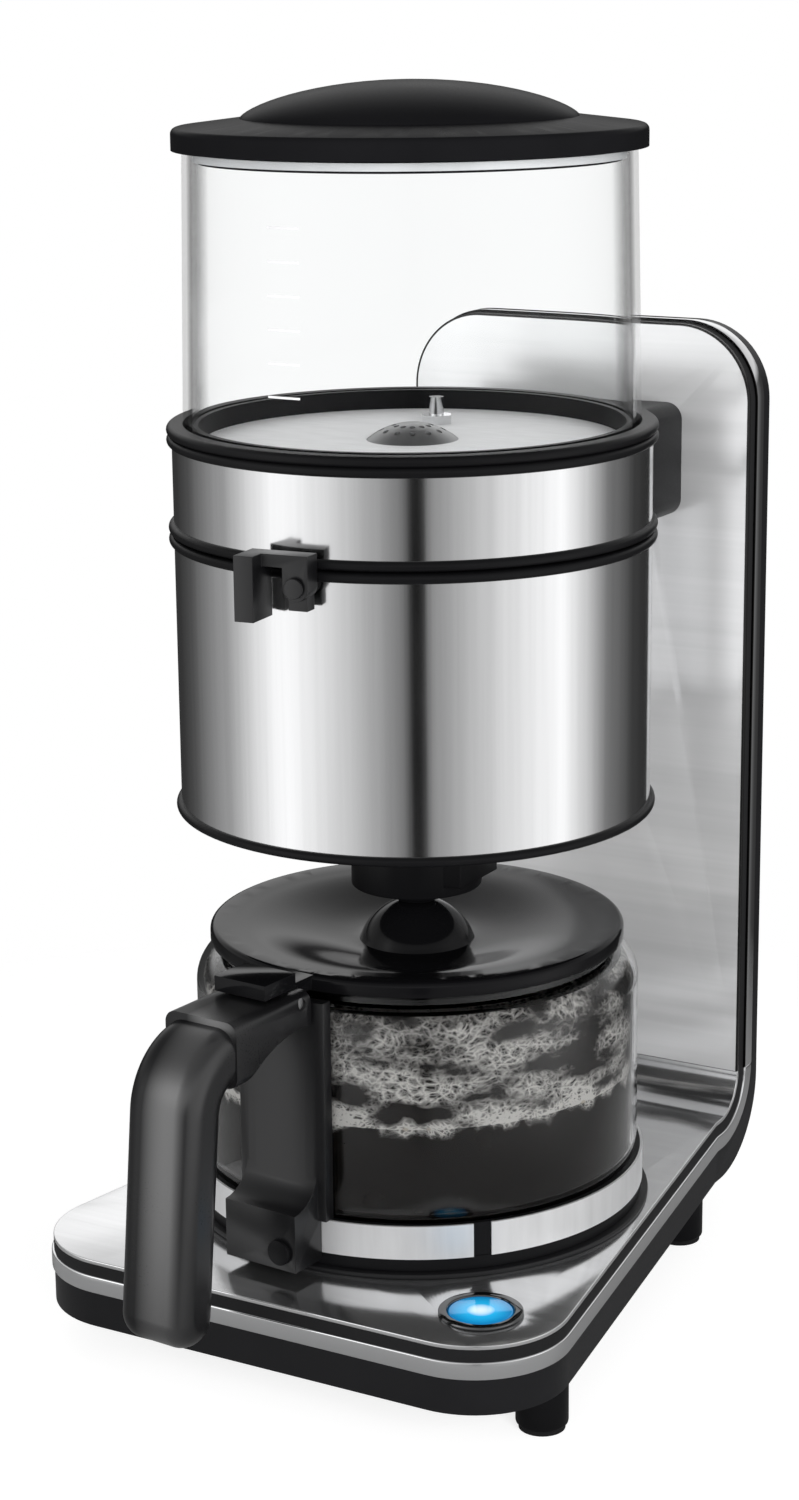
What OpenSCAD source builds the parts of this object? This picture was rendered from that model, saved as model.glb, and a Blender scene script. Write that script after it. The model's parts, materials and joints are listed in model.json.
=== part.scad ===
// Drip coffee maker: a glass water tank and its heating head over a swing-out filter drum and a carafe.
// X points to the right seen from the front, Y to the back and Z up.
// The origin is on the table, under the middle of the object's box.
// Every module is drawn about the drum's axis, which on_axis() puts in its place.

/* [Stand] */
// Width of the base along its front edge, before the corners are rounded
base_front_w = 200; // [188:1:212]
// Reach of the base in front of the drum's axis
base_front = 107.5; // [103:0.5:112]
// Corner radius of the base
base_corner_r = 32; // [26:1:38]
// Width of the column
col_w = 135; // [130:1:142]
// Distance from the drum's axis to the column's face
col_front = 120; // [114:1:128]
// Height of the column's top above the table
col_top = 328; // [320:1:340]
// Radius of the column's top corners
col_corner_r = 28; // [20:1:36]
// Inside radius where the base rises into the column
stand_bend = 14; // [10:1:18]
// Thickness of the steel plates
plate_t = 1.5; // [1:0.1:2]
// Height of the black gasket under the plates
gasket_h = 3.8; // [3:0.1:5]
// Width of the gasket
gasket_w = 6; // [4:0.5:8]
// Height of the bright band
band_h = 6; // [4.5:0.1:7.5]
// Wall of the bright band
band_w = 2; // [1.5:0.1:3]
// Height of the base's black tray
tray_h = 12; // [11:0.5:15]
// Depth of the column's black back shell
back_h = 6.5; // [5:0.5:9]
// Wall of the tray and of the back shell
shell_wall = 2.4; // [2:0.1:2.8]
// How far the plates, the gasket and the black shells stand back from the band
band_proud = 0.8; // [0.4:0.1:1.2]
// Height of the feet with their pads
foot_h = 16.5; // [14:0.5:20]
// Diameter of the feet
foot_d = 17; // [14:0.5:20]
// Thickness of the rubber pads
pad_h = 1.6; // [1:0.1:2.4]
// Distance of the front feet from the sides of the base's front
foot_front_in = 16; // [16:1:22]
// Distance of the front feet in front of the axis
foot_front_y = 70; // [66:1:76]
// Distance of the back feet from the middle
foot_back_x = 60; // [54:1:60]
// Distance of the back feet behind the axis
foot_back_y = 85; // [80:1:90]
// Diameter of the warming plate
warm_d = 158; // [150:1:164]
// Diameter of the warming plate's neck in the base plate
warm_neck_d = 120; // [110:1:128]
// Thickness of the warming plate's rim
warm_t = 1.6; // [1.4:0.1:2]
// Depth of the warming plate's neck below the base plate
warm_drop = 2; // [1.5:0.1:3]

/* [Button] */
// Distance of the button from the right side of the base's front
button_in = 32; // [30:0.5:36]
// Distance of the button in front of the axis
button_y = 81; // [78:0.5:84]
// Outer diameter of the button's ring
bezel_d = 27; // [25:0.5:29]
// Diameter of the lit lens
lens_d = 20.4; // [19:0.2:21]
// Height of the ring above the base plate
bezel_rise = 1.2; // [0.9:0.1:1.2]
// Height of the lens above the base plate
lens_rise = 1; // [0.7:0.1:1]
// Travel of the button
button_travel = 1.5; // [1:0.1:2]

/* [Head] */
// Clear height from the base plate to the filter drum
serve_h = 138.6; // [136:0.2:146]
// Height of the filter drum
drum_h = 93; // [86:0.5:100]
// Height of the heating head
head_h = 35.5; // [34:0.5:40]
// Visible height of the glass tank
tank_show = 87; // [76:1:100]
// Outer diameter of the black beads
ring_d = 160; // [158:0.5:164]
// Outer diameter of the steel shells
drum_d = 156.6; // [155:0.2:157]
// Thickness of the steel shells
shell_t = 1.2; // [0.8:0.1:1.4]
// Height of one bead
bead_h = 3.3; // [2.8:0.1:3.6]
// Outer diameter of the glass tank at its foot
tank_d = 149; // [147:0.5:151]
// Outer diameter of the glass tank at its top
tank_top_d = 145; // [143.5:0.5:147]
// Wall of the glass tank
tank_t = 3; // [2.5:0.1:3.2]
// Depth of the head's floor under the top of its ring
floor_drop = 6.5; // [6:0.5:8]
// Thickness of the head's steel floor
floor_t = 1.5; // [1.2:0.1:2]
// Gap at the parting line between the head and the filter drum
part_gap = 0.5; // [0.4:0.1:0.8]
// Width of the black block that joins the head to the column
block_w = 82; // [76:1:90]
// Height of the block
block_h = 40; // [36:1:42]
// Diameter of the strainer over the outlet valve
strainer_d = 30; // [27:0.5:33]
// Height of the strainer
strainer_h = 5.5; // [5:0.5:8]
// Travel of the outlet valve
valve_lift = 2; // [1.5:0.1:2.5]

/* [Tank lid] */
// How far the lid's rim stands out over the glass
lid_over = 3.5; // [3:0.25:5.5]
// Height of the lid's rim
lid_rim_h = 7; // [5:0.5:9]
// Rise of the lid's top from its rim to the dome
lid_slope_h = 2.5; // [1.5:0.5:4]
// Diameter of the dome
dome_d = 108; // [100:1:114]
// Height of the dome
dome_h = 11.5; // [9:0.5:14]
// Depth of the plug inside the glass
plug_h = 4; // [3.5:0.5:7]
// Wall of the lid
lid_t = 2.4; // [2:0.1:3]

/* [Filter drum] */
// Angle of the hinge pin from the front, to the left
hinge_ang = 105; // [98:1:112]
// Distance of the hinge pin outside the beads
hinge_out = 8; // [7.5:0.5:10]
// Diameter of the hinge pin
hinge_pin_d = 6; // [5:0.5:6.5]
// Height of a hinge knuckle
knuckle_h = 13; // [11:0.5:15]
// Diameter of the filter basket's mouth
basket_d = 140; // [132:1:141]
// Diameter of the filter basket's floor
basket_floor_d = 56; // [48:1:64]
// Depth of the filter basket
basket_h = 66; // [58:1:68]
// Wall of the basket and its carrier
basket_t = 1.8; // [1.5:0.1:2.2]
// Diameter of the drip stop's housing
drip_d = 44; // [40:1:48]
// Height of the drip stop's housing
drip_h = 28.5; // [27:0.5:29.5]
// Diameter of the drip stop's neck
drip_neck_d = 29; // [27:0.5:31]
// Height of the neck
drip_neck_h = 2.6; // [2:0.2:3]
// Diameter of the drip stop's plunger
plunger_d = 17; // [15:0.5:18]
// Travel of the plunger
plunger_travel = 3; // [2:0.5:3]

/* [Latch] */
// Angle of the lever's pivot from the front, to the right
latch_ang = 5.5; // [0:0.5:10]
// Distance from the pivot to the thumb tab
latch_arm = 14.5; // [13:0.5:17]
// Width of the thumb tab
latch_tab_w = 6.5; // [5:0.5:8]
// Depth of the thumb tab from front to back
latch_tab_d = 13; // [10:0.5:14]
// Height of the thumb tab below the arm
latch_tab_h = 20.5; // [17:0.5:23]
// Diameter of the lever's hub
latch_hub_d = 8.6; // [8:0.2:10]
// Diameter of the lever's pin
latch_pin_d = 4; // [3.5:0.1:4.5]

/* [Carafe] */
// Outer diameter of the carafe's glass
carafe_d = 150; // [147:0.5:150.5]
// Wall of the glass
carafe_t = 2.4; // [2:0.1:2.8]
// Height over the glass for the carafe's lid and the drip stop
lid_room = 48.6; // [47.6:0.2:50.6]
// Radius of the carafe's bottom edge
carafe_foot_r = 20; // [16:1:22]
// Radius of the carafe's shoulder
carafe_shoulder_r = 12; // [10:0.5:13]
// Diameter of the steel band round the carafe
carafe_band_d = 154; // [153.5:0.1:155]
// Thickness of the steel band
carafe_band_t = 0.8; // [0.5:0.1:0.8]
// Height of the steel band
carafe_band_h = 11.4; // [9:0.2:12]
// Height of the black ring under the band
carafe_ring_h = 4.2; // [3.5:0.1:5]
// Angle of the gap in the band from the front, to the right
band_gap_ang = 45; // [35:1:55]
// Width of the gap in the band
band_gap_w = 6; // [4:0.5:8]
// Diameter of the carafe's lid
serve_lid_d = 140; // [138:0.5:144]
// Height of the lid's rim
serve_rim_h = 5; // [4:0.2:5.4]
// Depth of the lid's dish below its rim
dish_h = 7; // [5:0.5:8]
// Diameter of the dome in the lid
serve_dome_d = 39; // [36:0.5:42]
// Height of the dome above the lid's rim
serve_dome_h = 7; // [6:0.2:7.4]
// Wall of the lid
serve_lid_t = 2.2; // [1.8:0.1:2.4]
// Angle of the handle from the front, to the right
handle_ang = -5; // [-12:0.5:4]
// Reach of the handle from the carafe's axis
handle_reach = 148; // [143:0.5:152]
// Width of the grip
grip_w = 27; // [24:0.5:29]
// Thickness of the grip
grip_t = 19; // [17:0.5:20]
// Height of the grip's lower end above the table
grip_low = 36; // [30:0.5:44]
// Radius of the grip's bend, along its middle
grip_bend = 17; // [14:0.5:20]
// Lean of the grip, outwards at its lower end
grip_lean = 6; // [3:0.5:8]
// Radius of the grip's long edges
grip_edge_r = 7; // [4:0.5:8]

/* [Fits] */
// Gap between fixed pieces that meet on a round face
seat_gap = 0.1; // [0.05:0.05:0.15]
// Gap between pieces that move past each other
run_gap = 0.4; // [0.3:0.05:0.5]
// Radial clearance of a pin or a screw in its hole
pin_gap = 0.05; // [0.02:0.01:0.08]
// Gap between the carafe and what it stands on or under
rest_gap = 0.3; // [0.3:0.05:0.4]

/* [Hidden] */

// Colours
steel = [0.76, 0.77, 0.79];
chrome = [0.86, 0.87, 0.89];
black = [0.07, 0.07, 0.075];
rubber = [0.11, 0.11, 0.11];
glass = [0.85, 0.92, 0.95, 0.35];
brass = [0.72, 0.58, 0.3];
board_green = [0.1, 0.32, 0.2];
lens_blue = [0.15, 0.55, 1];

// Fineness of round faces
round_fn = 96;
small_fn = 48;

// A length longer than the whole object, for cutting
far = 600;

// Depths of the stand's layers below the plates' faces
gasket_at = plate_t;
band_at = gasket_at + gasket_h;
tray_at = band_at + band_h;
base_t = tray_at + tray_h;
col_t = tray_at + back_h;

// Heights of the stand
base_top = foot_h + base_t;
split_z = base_top + stand_bend;
tray_floor_z = foot_h + shell_wall;
plate_under_z = base_top - plate_t;

// Heights of the head and the drum
drum_z = base_top + serve_h;
part_z = drum_z + drum_h;
head_z = part_z + part_gap / 2;
drum_top_z = part_z - part_gap / 2;
ring_top_z = part_z + head_h;
lid_z = ring_top_z + tank_show;
floor_z = ring_top_z - floor_drop;
rim_web = 2;
lid_skirt_h = 3;
lid_cap_z = lid_z + lid_skirt_h;

// Radii
ring_r = ring_d / 2;
bead_r = bead_h / 2;
drum_r = drum_d / 2;
drum_in_r = drum_r - shell_t;
tank_r = tank_d / 2;
tank_in_r = tank_r - tank_t;
tank_top_r = tank_top_d / 2;
ring_in_r = tank_in_r - 2;
pan_r = drum_in_r - seat_gap;
shower_r = pan_r - shell_t - 1;

// The stand's plan: a base that narrows to the column's width
taper_end = col_front - stand_bend - 4;
side_slope = (base_front_w - col_w) / 2 / (base_front + taper_end);
side_ang = atan(side_slope);
corner_x = base_front_w / 2 - base_corner_r * (side_slope + sqrt(1 + side_slope * side_slope));
corner_y = base_corner_r - base_front;
foot_front_x = base_front_w / 2 - foot_front_in;
button_x = base_front_w / 2 - button_in;

// The carafe
warm_top = base_top + warm_t;
carafe_z = warm_top + rest_gap;
carafe_r = carafe_d / 2;
glass_z = carafe_z + 0.6;
glass_top = glass_z + serve_h - lid_room;
neck_turn = 72;
neck_r = carafe_r - carafe_shoulder_r * (1 - cos(neck_turn));
neck_h = 3.4;
shoulder_z = glass_top - neck_h - carafe_shoulder_r * sin(neck_turn);
serve_rim_z = glass_top + serve_rim_h;
serve_dome_z = serve_rim_z + serve_dome_h;
serve_dome_r = serve_dome_d / 2;
dish_z = serve_rim_z - dish_h;
serve_dome_rise = serve_dome_z - dish_z;
serve_ball_r = (serve_dome_r * serve_dome_r + serve_dome_rise * serve_dome_rise) / 2 / serve_dome_rise;
serve_hole_r = 5;
serve_seat_z = serve_dome_z - serve_ball_r + sqrt(serve_ball_r * serve_ball_r - serve_hole_r * serve_hole_r);
band_r = carafe_band_d / 2;
band_z = carafe_z + carafe_ring_h;
collar_gap = 0.3;

// The handle: the grip runs out from its block, bends down and ends round
grip_r = grip_t / 2;
grip_out = handle_reach - grip_r;
grip_top_z = glass_top + 2 - grip_r;
grip_end_z = grip_low + grip_r;
grip_leg = (grip_top_z - grip_end_z - grip_bend * (1 - sin(grip_lean))) / cos(grip_lean);
grip_turn_x = grip_out - grip_leg * sin(grip_lean) - grip_bend * cos(grip_lean);
handle_block_low = grip_top_z - grip_r - 0.5;
block_top_z = glass_top + serve_rim_h - 1;
handle_block_w = grip_w + 1;
handle_block_edge = 4;
handle_block_out = grip_turn_x + 3;
plate_half_w = 17;
plate_r = carafe_r + collar_gap;
clamp_r = band_r + collar_gap;
clamp_top = band_z + carafe_band_h + 6;
clamp_out = 13;
screw_z = band_z + 4;

// The drip stop
drip_z = drum_z - drip_h;
neck_z = drip_z - drip_neck_h;
plunger_z = serve_seat_z + 2 * rest_gap;
plunger_tip_r = plunger_d / 2 - 1.5;
plunger_tip_h = 2;
plunger_bore_r = plunger_d / 2 + run_gap;
drip_wall = 4;
drip_floor = 2;
cavity_r = drip_d / 2 - drip_wall;
collar_w = 4;
collar_r = plunger_bore_r + collar_w;
collar_h = 3;
collar_z = drip_z + drip_floor + plunger_travel + run_gap;

// The hinge and the latch
hinge_r = ring_r + hinge_out;
knuckle_wall = 4.5;
knuckle_r = hinge_pin_d / 2 + knuckle_wall;
pin_head_h = 2.5;
pin_head_r = hinge_pin_d / 2 + 2.5;
latch_out = 1;
latch_r = ring_r + latch_out;
latch_wall = 1.4;
latch_boss_r = latch_pin_d / 2 + latch_wall;
latch_z = drum_top_z - latch_boss_r - run_gap;
latch_t = 7;

// The object's reach to the front and to the back, which set the drum's place
reach_front = (handle_reach - grip_edge_r) * cos(handle_ang)
    + (grip_w / 2 - grip_edge_r) * abs(sin(handle_ang)) + grip_edge_r;
reach_back = col_front + col_t;
axis_y = (reach_front - reach_back) / 2;

// Points along an arc of a profile
function arc(x, y, r, from, to, steps) =
    [for (i = [0 : steps]) let (a = from + (to - from) * i / steps) [x + r * cos(a), y + r * sin(a)]];

// Puts a piece that is drawn about the drum's axis in its place
module on_axis() {
    translate([0, axis_y, 0]) children();
}

// Turns a piece so that its X points outwards at an angle from the front, and its Y to the right
module radial(angle) {
    rotate([0, 0, angle - 90]) children();
}

module turned() {
    rotate_extrude($fn = round_fn) children();
}

// A rectangle in a turned profile
module section(r0, r1, z0, z1) {
    translate([r0, z0]) square([r1 - r0, z1 - z0]);
}

// A round bead in a turned profile, with its lower edge at z
module bead(z) {
    translate([ring_r - bead_r, z + bead_r]) circle(bead_r, $fn = small_fn);
}

module rod(r, z0, z1, fn = small_fn) {
    translate([0, 0, z0]) cylinder(r = r, h = z1 - z0, $fn = fn);
}

// A rod along Y
module rod_y(r, y0, y1) {
    translate([0, y0, 0]) rotate([-90, 0, 0]) cylinder(r = r, h = y1 - y0, $fn = small_fn);
}

// A rod along X
module rod_x(r, x0, x1) {
    translate([x0, 0, 0]) rotate([0, 90, 0]) cylinder(r = r, h = x1 - x0, $fn = small_fn);
}

// A box from one corner to the other
module box(low, high) {
    translate(low) cube(high - low);
}

// A rectangle with round corners
module round_rect(w, h, r) {
    translate([r - w / 2, -h / 2]) square([w - 2 * r, h]);
    translate([-w / 2, r - h / 2]) square([w, h - 2 * r]);
    for (x = [-1, 1], y = [-1, 1])
        translate([x * (w / 2 - r), y * (h / 2 - r)]) circle(r, $fn = small_fn);
}

// The stand's outline seen from above
module plan(inset) {
    r = base_corner_r - inset;
    w = col_w / 2 - inset;
    edge = [corner_x + r * cos(side_ang), corner_y + r * sin(side_ang)];
    meet = edge[1] + (edge[0] - w) / side_slope;
    front = inset - base_front;
    polygon([[-corner_x, front], [corner_x, front], edge, [w, meet], [w, far],
        [-w, far], [-w, meet], [-edge[0], edge[1]]]);
    for (x = [-corner_x, corner_x])
        translate([x, corner_y]) circle(r, $fn = round_fn);
}

// The stand's outline seen from the front: only the column's top corners matter
module face(inset) {
    r = col_corner_r - inset;
    w = col_w / 2 - col_corner_r;
    z = col_top - col_corner_r;
    translate([-far, 0]) square([2 * far, z]);
    translate([-w, 0]) square([2 * w, col_top - inset]);
    for (x = [-w, w])
        translate([x, z]) circle(r, $fn = round_fn);
}

// Everything below the base's face and behind the column's face, seen from the side
module behind(base_depth, col_depth) {
    r = stand_bend + col_depth;
    y = col_front + col_depth;
    z = base_top - base_depth;
    translate([-far, z - far]) square([3 * far, far]);
    translate([y, z - far]) square([far, 2 * far]);
    difference() {
        translate([y - r, z]) square(r);
        translate([y - r, z + r]) circle(r, $fn = round_fn);
    }
}

// One layer of the bent stand, between two depths
module layer(from, base_to, col_to, inset) {
    intersection() {
        rotate([90, 0, 90]) translate([0, 0, -far]) linear_extrude(2 * far) difference() {
            behind(from, from);
            behind(base_to, col_to);
        }
        linear_extrude(far) plan(inset);
        rotate([90, 0, 0]) translate([0, 0, -far]) linear_extrude(2 * far) face(inset);
    }
}

// A layer that only runs round the edge
module layer_ring(from, to, inset, width) {
    difference() {
        layer(from, to, to, inset);
        layer(from - 1, to + 1, to + 1, inset + width);
    }
}

// The black shell of the stand, open towards the plates
module stand_shell() {
    difference() {
        layer(tray_at, base_t, col_t, band_proud);
        layer(tray_at - 1, base_t - shell_wall, col_t - shell_wall, band_proud + shell_wall);
    }
}

// Keeps what lies under the joint between base and column
module base_part() {
    intersection() {
        children();
        box([-far, -far, 0], [far, far, split_z]);
    }
}

// Keeps what lies over the joint between base and column
module column_part() {
    intersection() {
        children();
        box([-far, -far, split_z], [far, far, far]);
    }
}

module at_feet() {
    for (x = [-1, 1]) {
        translate([x * foot_front_x, -foot_front_y, 0]) children();
        translate([x * foot_back_x, foot_back_y, 0]) children();
    }
}

// Screws of the feet
foot_screw_r = 2;
foot_screw_head_r = 3.6;
foot_screw_head_h = 2;
foot_screw_deep = 8;

// The board under the button
board_w = 36;
board_d = 28;
board_t = 1.6;
board_z = tray_floor_z + 2.6;
board_x = button_x - 5;
board_y = -button_y + 3;
post_r = 2.2;
post_in = 3;

module at_posts() {
    for (x = [-1, 1], y = [-1, 1])
        translate([board_x + x * (board_w / 2 - post_in), board_y + y * (board_d / 2 - post_in), 0])
            children();
}

module base_tray() {
    color(black) on_axis() {
        difference() {
            base_part() stand_shell();
            at_feet() rod(foot_screw_r + pin_gap, 0, tray_floor_z + 1);
        }
        at_posts() rod(post_r, tray_floor_z, board_z);
    }
}

module base_plate() {
    color(steel) on_axis() difference() {
        base_part() layer(0, plate_t, plate_t, band_proud);
        rod(warm_neck_d / 2 + seat_gap, 0, base_top + 1, round_fn);
        translate([button_x, -button_y, 0]) rod(sleeve_r + seat_gap, 0, base_top + 1);
    }
}

module base_gasket() {
    color(rubber) on_axis() base_part() layer_ring(gasket_at, band_at, band_proud, gasket_w);
}

module base_band() {
    color(chrome) on_axis() base_part() layer_ring(band_at, tray_at, 0, band_w);
}

// The harness runs from the terminals up inside the column, and through the block into the head
harness_r = 2.5;
harness_y = col_front + plate_t + 5;
harness_low_z = base_top - 2;
harness_high_z = part_z + 12;
harness_front_y = 66;
terminal_d = 14;
terminal_w = 26;
terminal_h = 14;
terminal_y = col_front - 16;
terminal_wire_z = tray_floor_z + 5;

// The inlet for the mains lead
inlet_r = 8;
inlet_bore_r = 4;
inlet_h = 4;
inlet_z = split_z + 16;

// Screws from the column into the block
block_screw_r = 2.4;
block_screw_head_r = 4.5;
block_screw_head_h = 2.5;
block_screw_deep = 14;
block_screw_x = block_w / 2 - 16;

module at_block_screws() {
    for (x = [-1, 1])
        translate([x * block_screw_x, 0, block_mid_z]) children();
}

module column_back() {
    color(black) on_axis() difference() {
        column_part() stand_shell();
        translate([0, 0, inlet_z]) rod_y(inlet_r + pin_gap, reach_back - shell_wall - 1, reach_back + 1);
    }
}

module column_plate() {
    color(steel) on_axis() difference() {
        column_part() layer(0, plate_t, plate_t, band_proud);
        translate([0, 0, harness_high_z]) rod_y(harness_r + run_gap, col_front - 1, harness_y);
        at_block_screws() rod_y(block_screw_r + pin_gap, col_front - 1, harness_y);
    }
}

module column_gasket() {
    color(rubber) on_axis() column_part() layer_ring(gasket_at, band_at, band_proud, gasket_w);
}

module column_band() {
    color(chrome) on_axis() column_part() layer_ring(band_at, tray_at, 0, band_w);
}

module feet() {
    color(black) on_axis() at_feet() difference() {
        rod(foot_d / 2, pad_h, foot_h);
        rod(foot_screw_r + pin_gap, foot_h - foot_screw_deep - 1, foot_h + 1);
    }
}

module foot_pads() {
    color(rubber) on_axis() at_feet() rod(foot_d / 2 - 1, 0, pad_h);
}

// The warming plate and what heats it
warm_low = plate_under_z - warm_drop;
element_r = 4.5;
element_ring_r = warm_neck_d / 2 - 14;
warm_stat_r = 9;
warm_stat_h = 7;

module warming_plate() {
    color(black) on_axis() {
        rod(warm_neck_d / 2, warm_low, base_top, round_fn);
        rod(warm_d / 2, base_top, warm_top, round_fn);
    }
}

// A round heating element with a gap at the back for its ends
ring_gap_ang = 40;

module heating_ring(ring, tube) {
    rotate([0, 0, 90 + ring_gap_ang / 2]) rotate_extrude(angle = 360 - ring_gap_ang, $fn = round_fn)
        translate([ring, 0]) circle(tube, $fn = small_fn);
}

module warming_heater() {
    color(steel) on_axis() translate([0, 0, warm_low - element_r]) heating_ring(element_ring_r, element_r);
}

module plate_thermostat() {
    color(brass) on_axis() rod(warm_stat_r, warm_low - warm_stat_h, warm_low);
}

// The relay on the board, from the board's left edge and its middle
relay_low = [3, -6];
relay_high = [12, 8];
relay_h = 8;

module control_board() {
    color(board_green) on_axis() translate([board_x, board_y, 0]) {
        box([-board_w / 2, -board_d / 2, board_z], [board_w / 2, board_d / 2, board_z + board_t]);
        box([relay_low[0] - board_w / 2, relay_low[1], board_z + board_t],
            [relay_high[0] - board_w / 2, relay_high[1], board_z + board_t + relay_h]);
    }
}

// The button: a lens that slides in a ring, on a spring over a switch
sleeve_t = 1.2;
sleeve_r = lens_d / 2 + run_gap + sleeve_t;
sleeve_h = 8.5;
sleeve_floor = 1.2;
lens_t = 2.5;
lens_skirt_t = 1.6;
stem_r = 2;
stem_low = base_top - sleeve_h - 1;
lens_under = base_top + lens_rise - lens_t;
sleeve_floor_z = base_top - sleeve_h + sleeve_floor;
lens_low = sleeve_floor_z + button_travel + rest_gap;
switch_top = stem_low - button_travel - rest_gap;
switch_half = 5;
knob_r = 1.6;
knob_low = switch_top - 1.2;
button_spring_r = stem_r + 2;
button_spring_t = 1.4;

module at_button() {
    on_axis() translate([button_x, -button_y, 0]) children();
}

module button_bezel() {
    color(chrome) at_button() turned() {
        section(lens_d / 2 + run_gap, bezel_d / 2, base_top, base_top + bezel_rise);
        section(lens_d / 2 + run_gap, sleeve_r, base_top - sleeve_h, base_top + bezel_rise);
        section(stem_r + run_gap, sleeve_r, base_top - sleeve_h, sleeve_floor_z);
    }
}

module button_lens() {
    color(lens_blue) at_button() turned() {
        section(0, lens_d / 2, lens_under, base_top + lens_rise);
        section(lens_d / 2 - lens_skirt_t, lens_d / 2, lens_low, lens_under);
        section(0, stem_r, stem_low, lens_under);
    }
}

module button_spring() {
    color(steel) at_button() turned()
        section(button_spring_r, button_spring_r + button_spring_t, sleeve_floor_z, lens_under);
}

module button_switch() {
    color(black) at_button() {
        box([-switch_half, -switch_half, board_z + board_t], [switch_half, switch_half, knob_low]);
        rod(knob_r, knob_low, switch_top);
    }
}

module terminal_block() {
    color(board_green) on_axis()
        box([-terminal_w / 2, terminal_y - terminal_d, tray_floor_z],
            [terminal_w / 2, terminal_y, tray_floor_z + terminal_h]);
}

// A rod between two points of the side view
module strut(from, to, r) {
    run = to - from;
    translate([0, from[0], from[1]]) rotate([-atan2(run[0], run[1]), 0, 0])
        cylinder(r = r, h = norm(run), $fn = small_fn);
}

module wire_harness() {
    route = [[terminal_y + harness_r, terminal_wire_z], [harness_y, harness_low_z],
        [harness_y, harness_high_z], [harness_front_y, harness_high_z]];
    color(rubber) on_axis() {
        translate([0, 0, terminal_wire_z]) rod_y(harness_r, terminal_y, terminal_y + harness_r);
        for (i = [0 : len(route) - 2]) {
            strut(route[i], route[i + 1], harness_r);
            translate([0, route[i][0], route[i][1]]) sphere(harness_r, $fn = small_fn);
        }
    }
}

module cord_inlet() {
    color(rubber) on_axis() translate([0, 0, inlet_z]) difference() {
        rod_y(inlet_r, reach_back - inlet_h, reach_back);
        rod_y(inlet_bore_r, reach_back - inlet_h - 1, reach_back + 1);
    }
}

// The block between the column and the head
block_top = ring_top_z - 2 * bead_h - 1;
block_mid_z = block_top - block_h / 2;
block_corner_r = 6;
block_near = 62;

module bracket_block() {
    color(black) on_axis() difference() {
        translate([0, col_front, block_mid_z]) rotate([90, 0, 0])
            linear_extrude(col_front - block_near) round_rect(block_w, block_h, block_corner_r);
        rod(drum_r + seat_gap, 0, far, round_fn);
        rod(ring_r + run_gap * 2, 0, head_z + bead_h + run_gap, round_fn);
        translate([0, 0, harness_high_z]) rod_y(harness_r + run_gap, 0, far);
        at_block_screws() rod_y(block_screw_r + pin_gap, col_front - block_screw_deep - 1, far);
    }
}

// The screws of the feet and of the block
module screws() {
    color(chrome) on_axis() {
        at_feet() {
            rod(foot_screw_r, foot_h - foot_screw_deep, tray_floor_z);
            rod(foot_screw_head_r, tray_floor_z, tray_floor_z + foot_screw_head_h);
        }
        at_block_screws() {
            rod_y(block_screw_r, col_front - block_screw_deep, col_front + plate_t);
            rod_y(block_screw_head_r, col_front + plate_t, col_front + plate_t + block_screw_head_h);
        }
    }
}

// The head: its rim carries the shower plate, the steel shell and the floor's skirt
module head_rim() {
    color(black) on_axis() turned() {
        section(shower_r - shower_ledge, ring_r - bead_r, head_z, head_z + rim_web);
        bead(head_z);
    }
}

module heater_shell() {
    color(steel) on_axis() difference() {
        turned() section(drum_in_r, drum_r, head_z + bead_h, ring_top_z - 2 * bead_h);
        translate([0, 0, harness_high_z]) rod_y(harness_r + run_gap, 0, far);
    }
}

// The black ring that holds the glass: two beads outside, a channel for the glass inside
channel_z = floor_z + 2;

module top_ring() {
    color(black) on_axis() turned() {
        difference() {
            section(ring_in_r, ring_r - bead_r, floor_z, ring_top_z);
            section(tank_in_r - seat_gap, tank_r + seat_gap, channel_z, far);
        }
        bead(ring_top_z - bead_h);
        bead(ring_top_z - 2 * bead_h);
    }
}

module tank_floor() {
    color(steel) on_axis() difference() {
        turned() {
            section(0, pan_r, floor_z - floor_t, floor_z);
            section(pan_r - shell_t, pan_r, head_z + bead_h, floor_z);
        }
        rod(valve_r + pin_gap, 0, far);
        translate([probe_x, probe_y, 0]) rod(probe_r + pin_gap, 0, far);
        translate([0, 0, harness_high_z]) rod_y(harness_r + run_gap, harness_front_y, far);
    }
}

boiler_tube_r = 5;
boiler_ring_r = 50;
tank_stat_r = 10;
tank_stat_h = 8;
tank_stat_x = 28;

module tank_heater() {
    color(steel) on_axis()
        translate([0, 0, floor_z - floor_t - boiler_tube_r]) heating_ring(boiler_ring_r, boiler_tube_r);
}

module tank_thermostat() {
    color(brass) on_axis() translate([tank_stat_x, 0, 0])
        rod(tank_stat_r, floor_z - floor_t - tank_stat_h, floor_z - floor_t);
}

shower_ledge = 4;
shower_t = 2;
shower_z = head_z + rim_web;
shower_holes = 8;
shower_rows = [18, 32];
shower_hole_r = 2;

module shower_plate() {
    color(black) on_axis() difference() {
        rod(shower_r, shower_z, shower_z + shower_t, round_fn);
        for (i = [0 : shower_holes - 1], r = shower_rows)
            rotate([0, 0, i * 360 / shower_holes]) translate([r, 0, 0]) rod(shower_hole_r, 0, far);
        rod(valve_hole_r, 0, far);
    }
}

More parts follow.
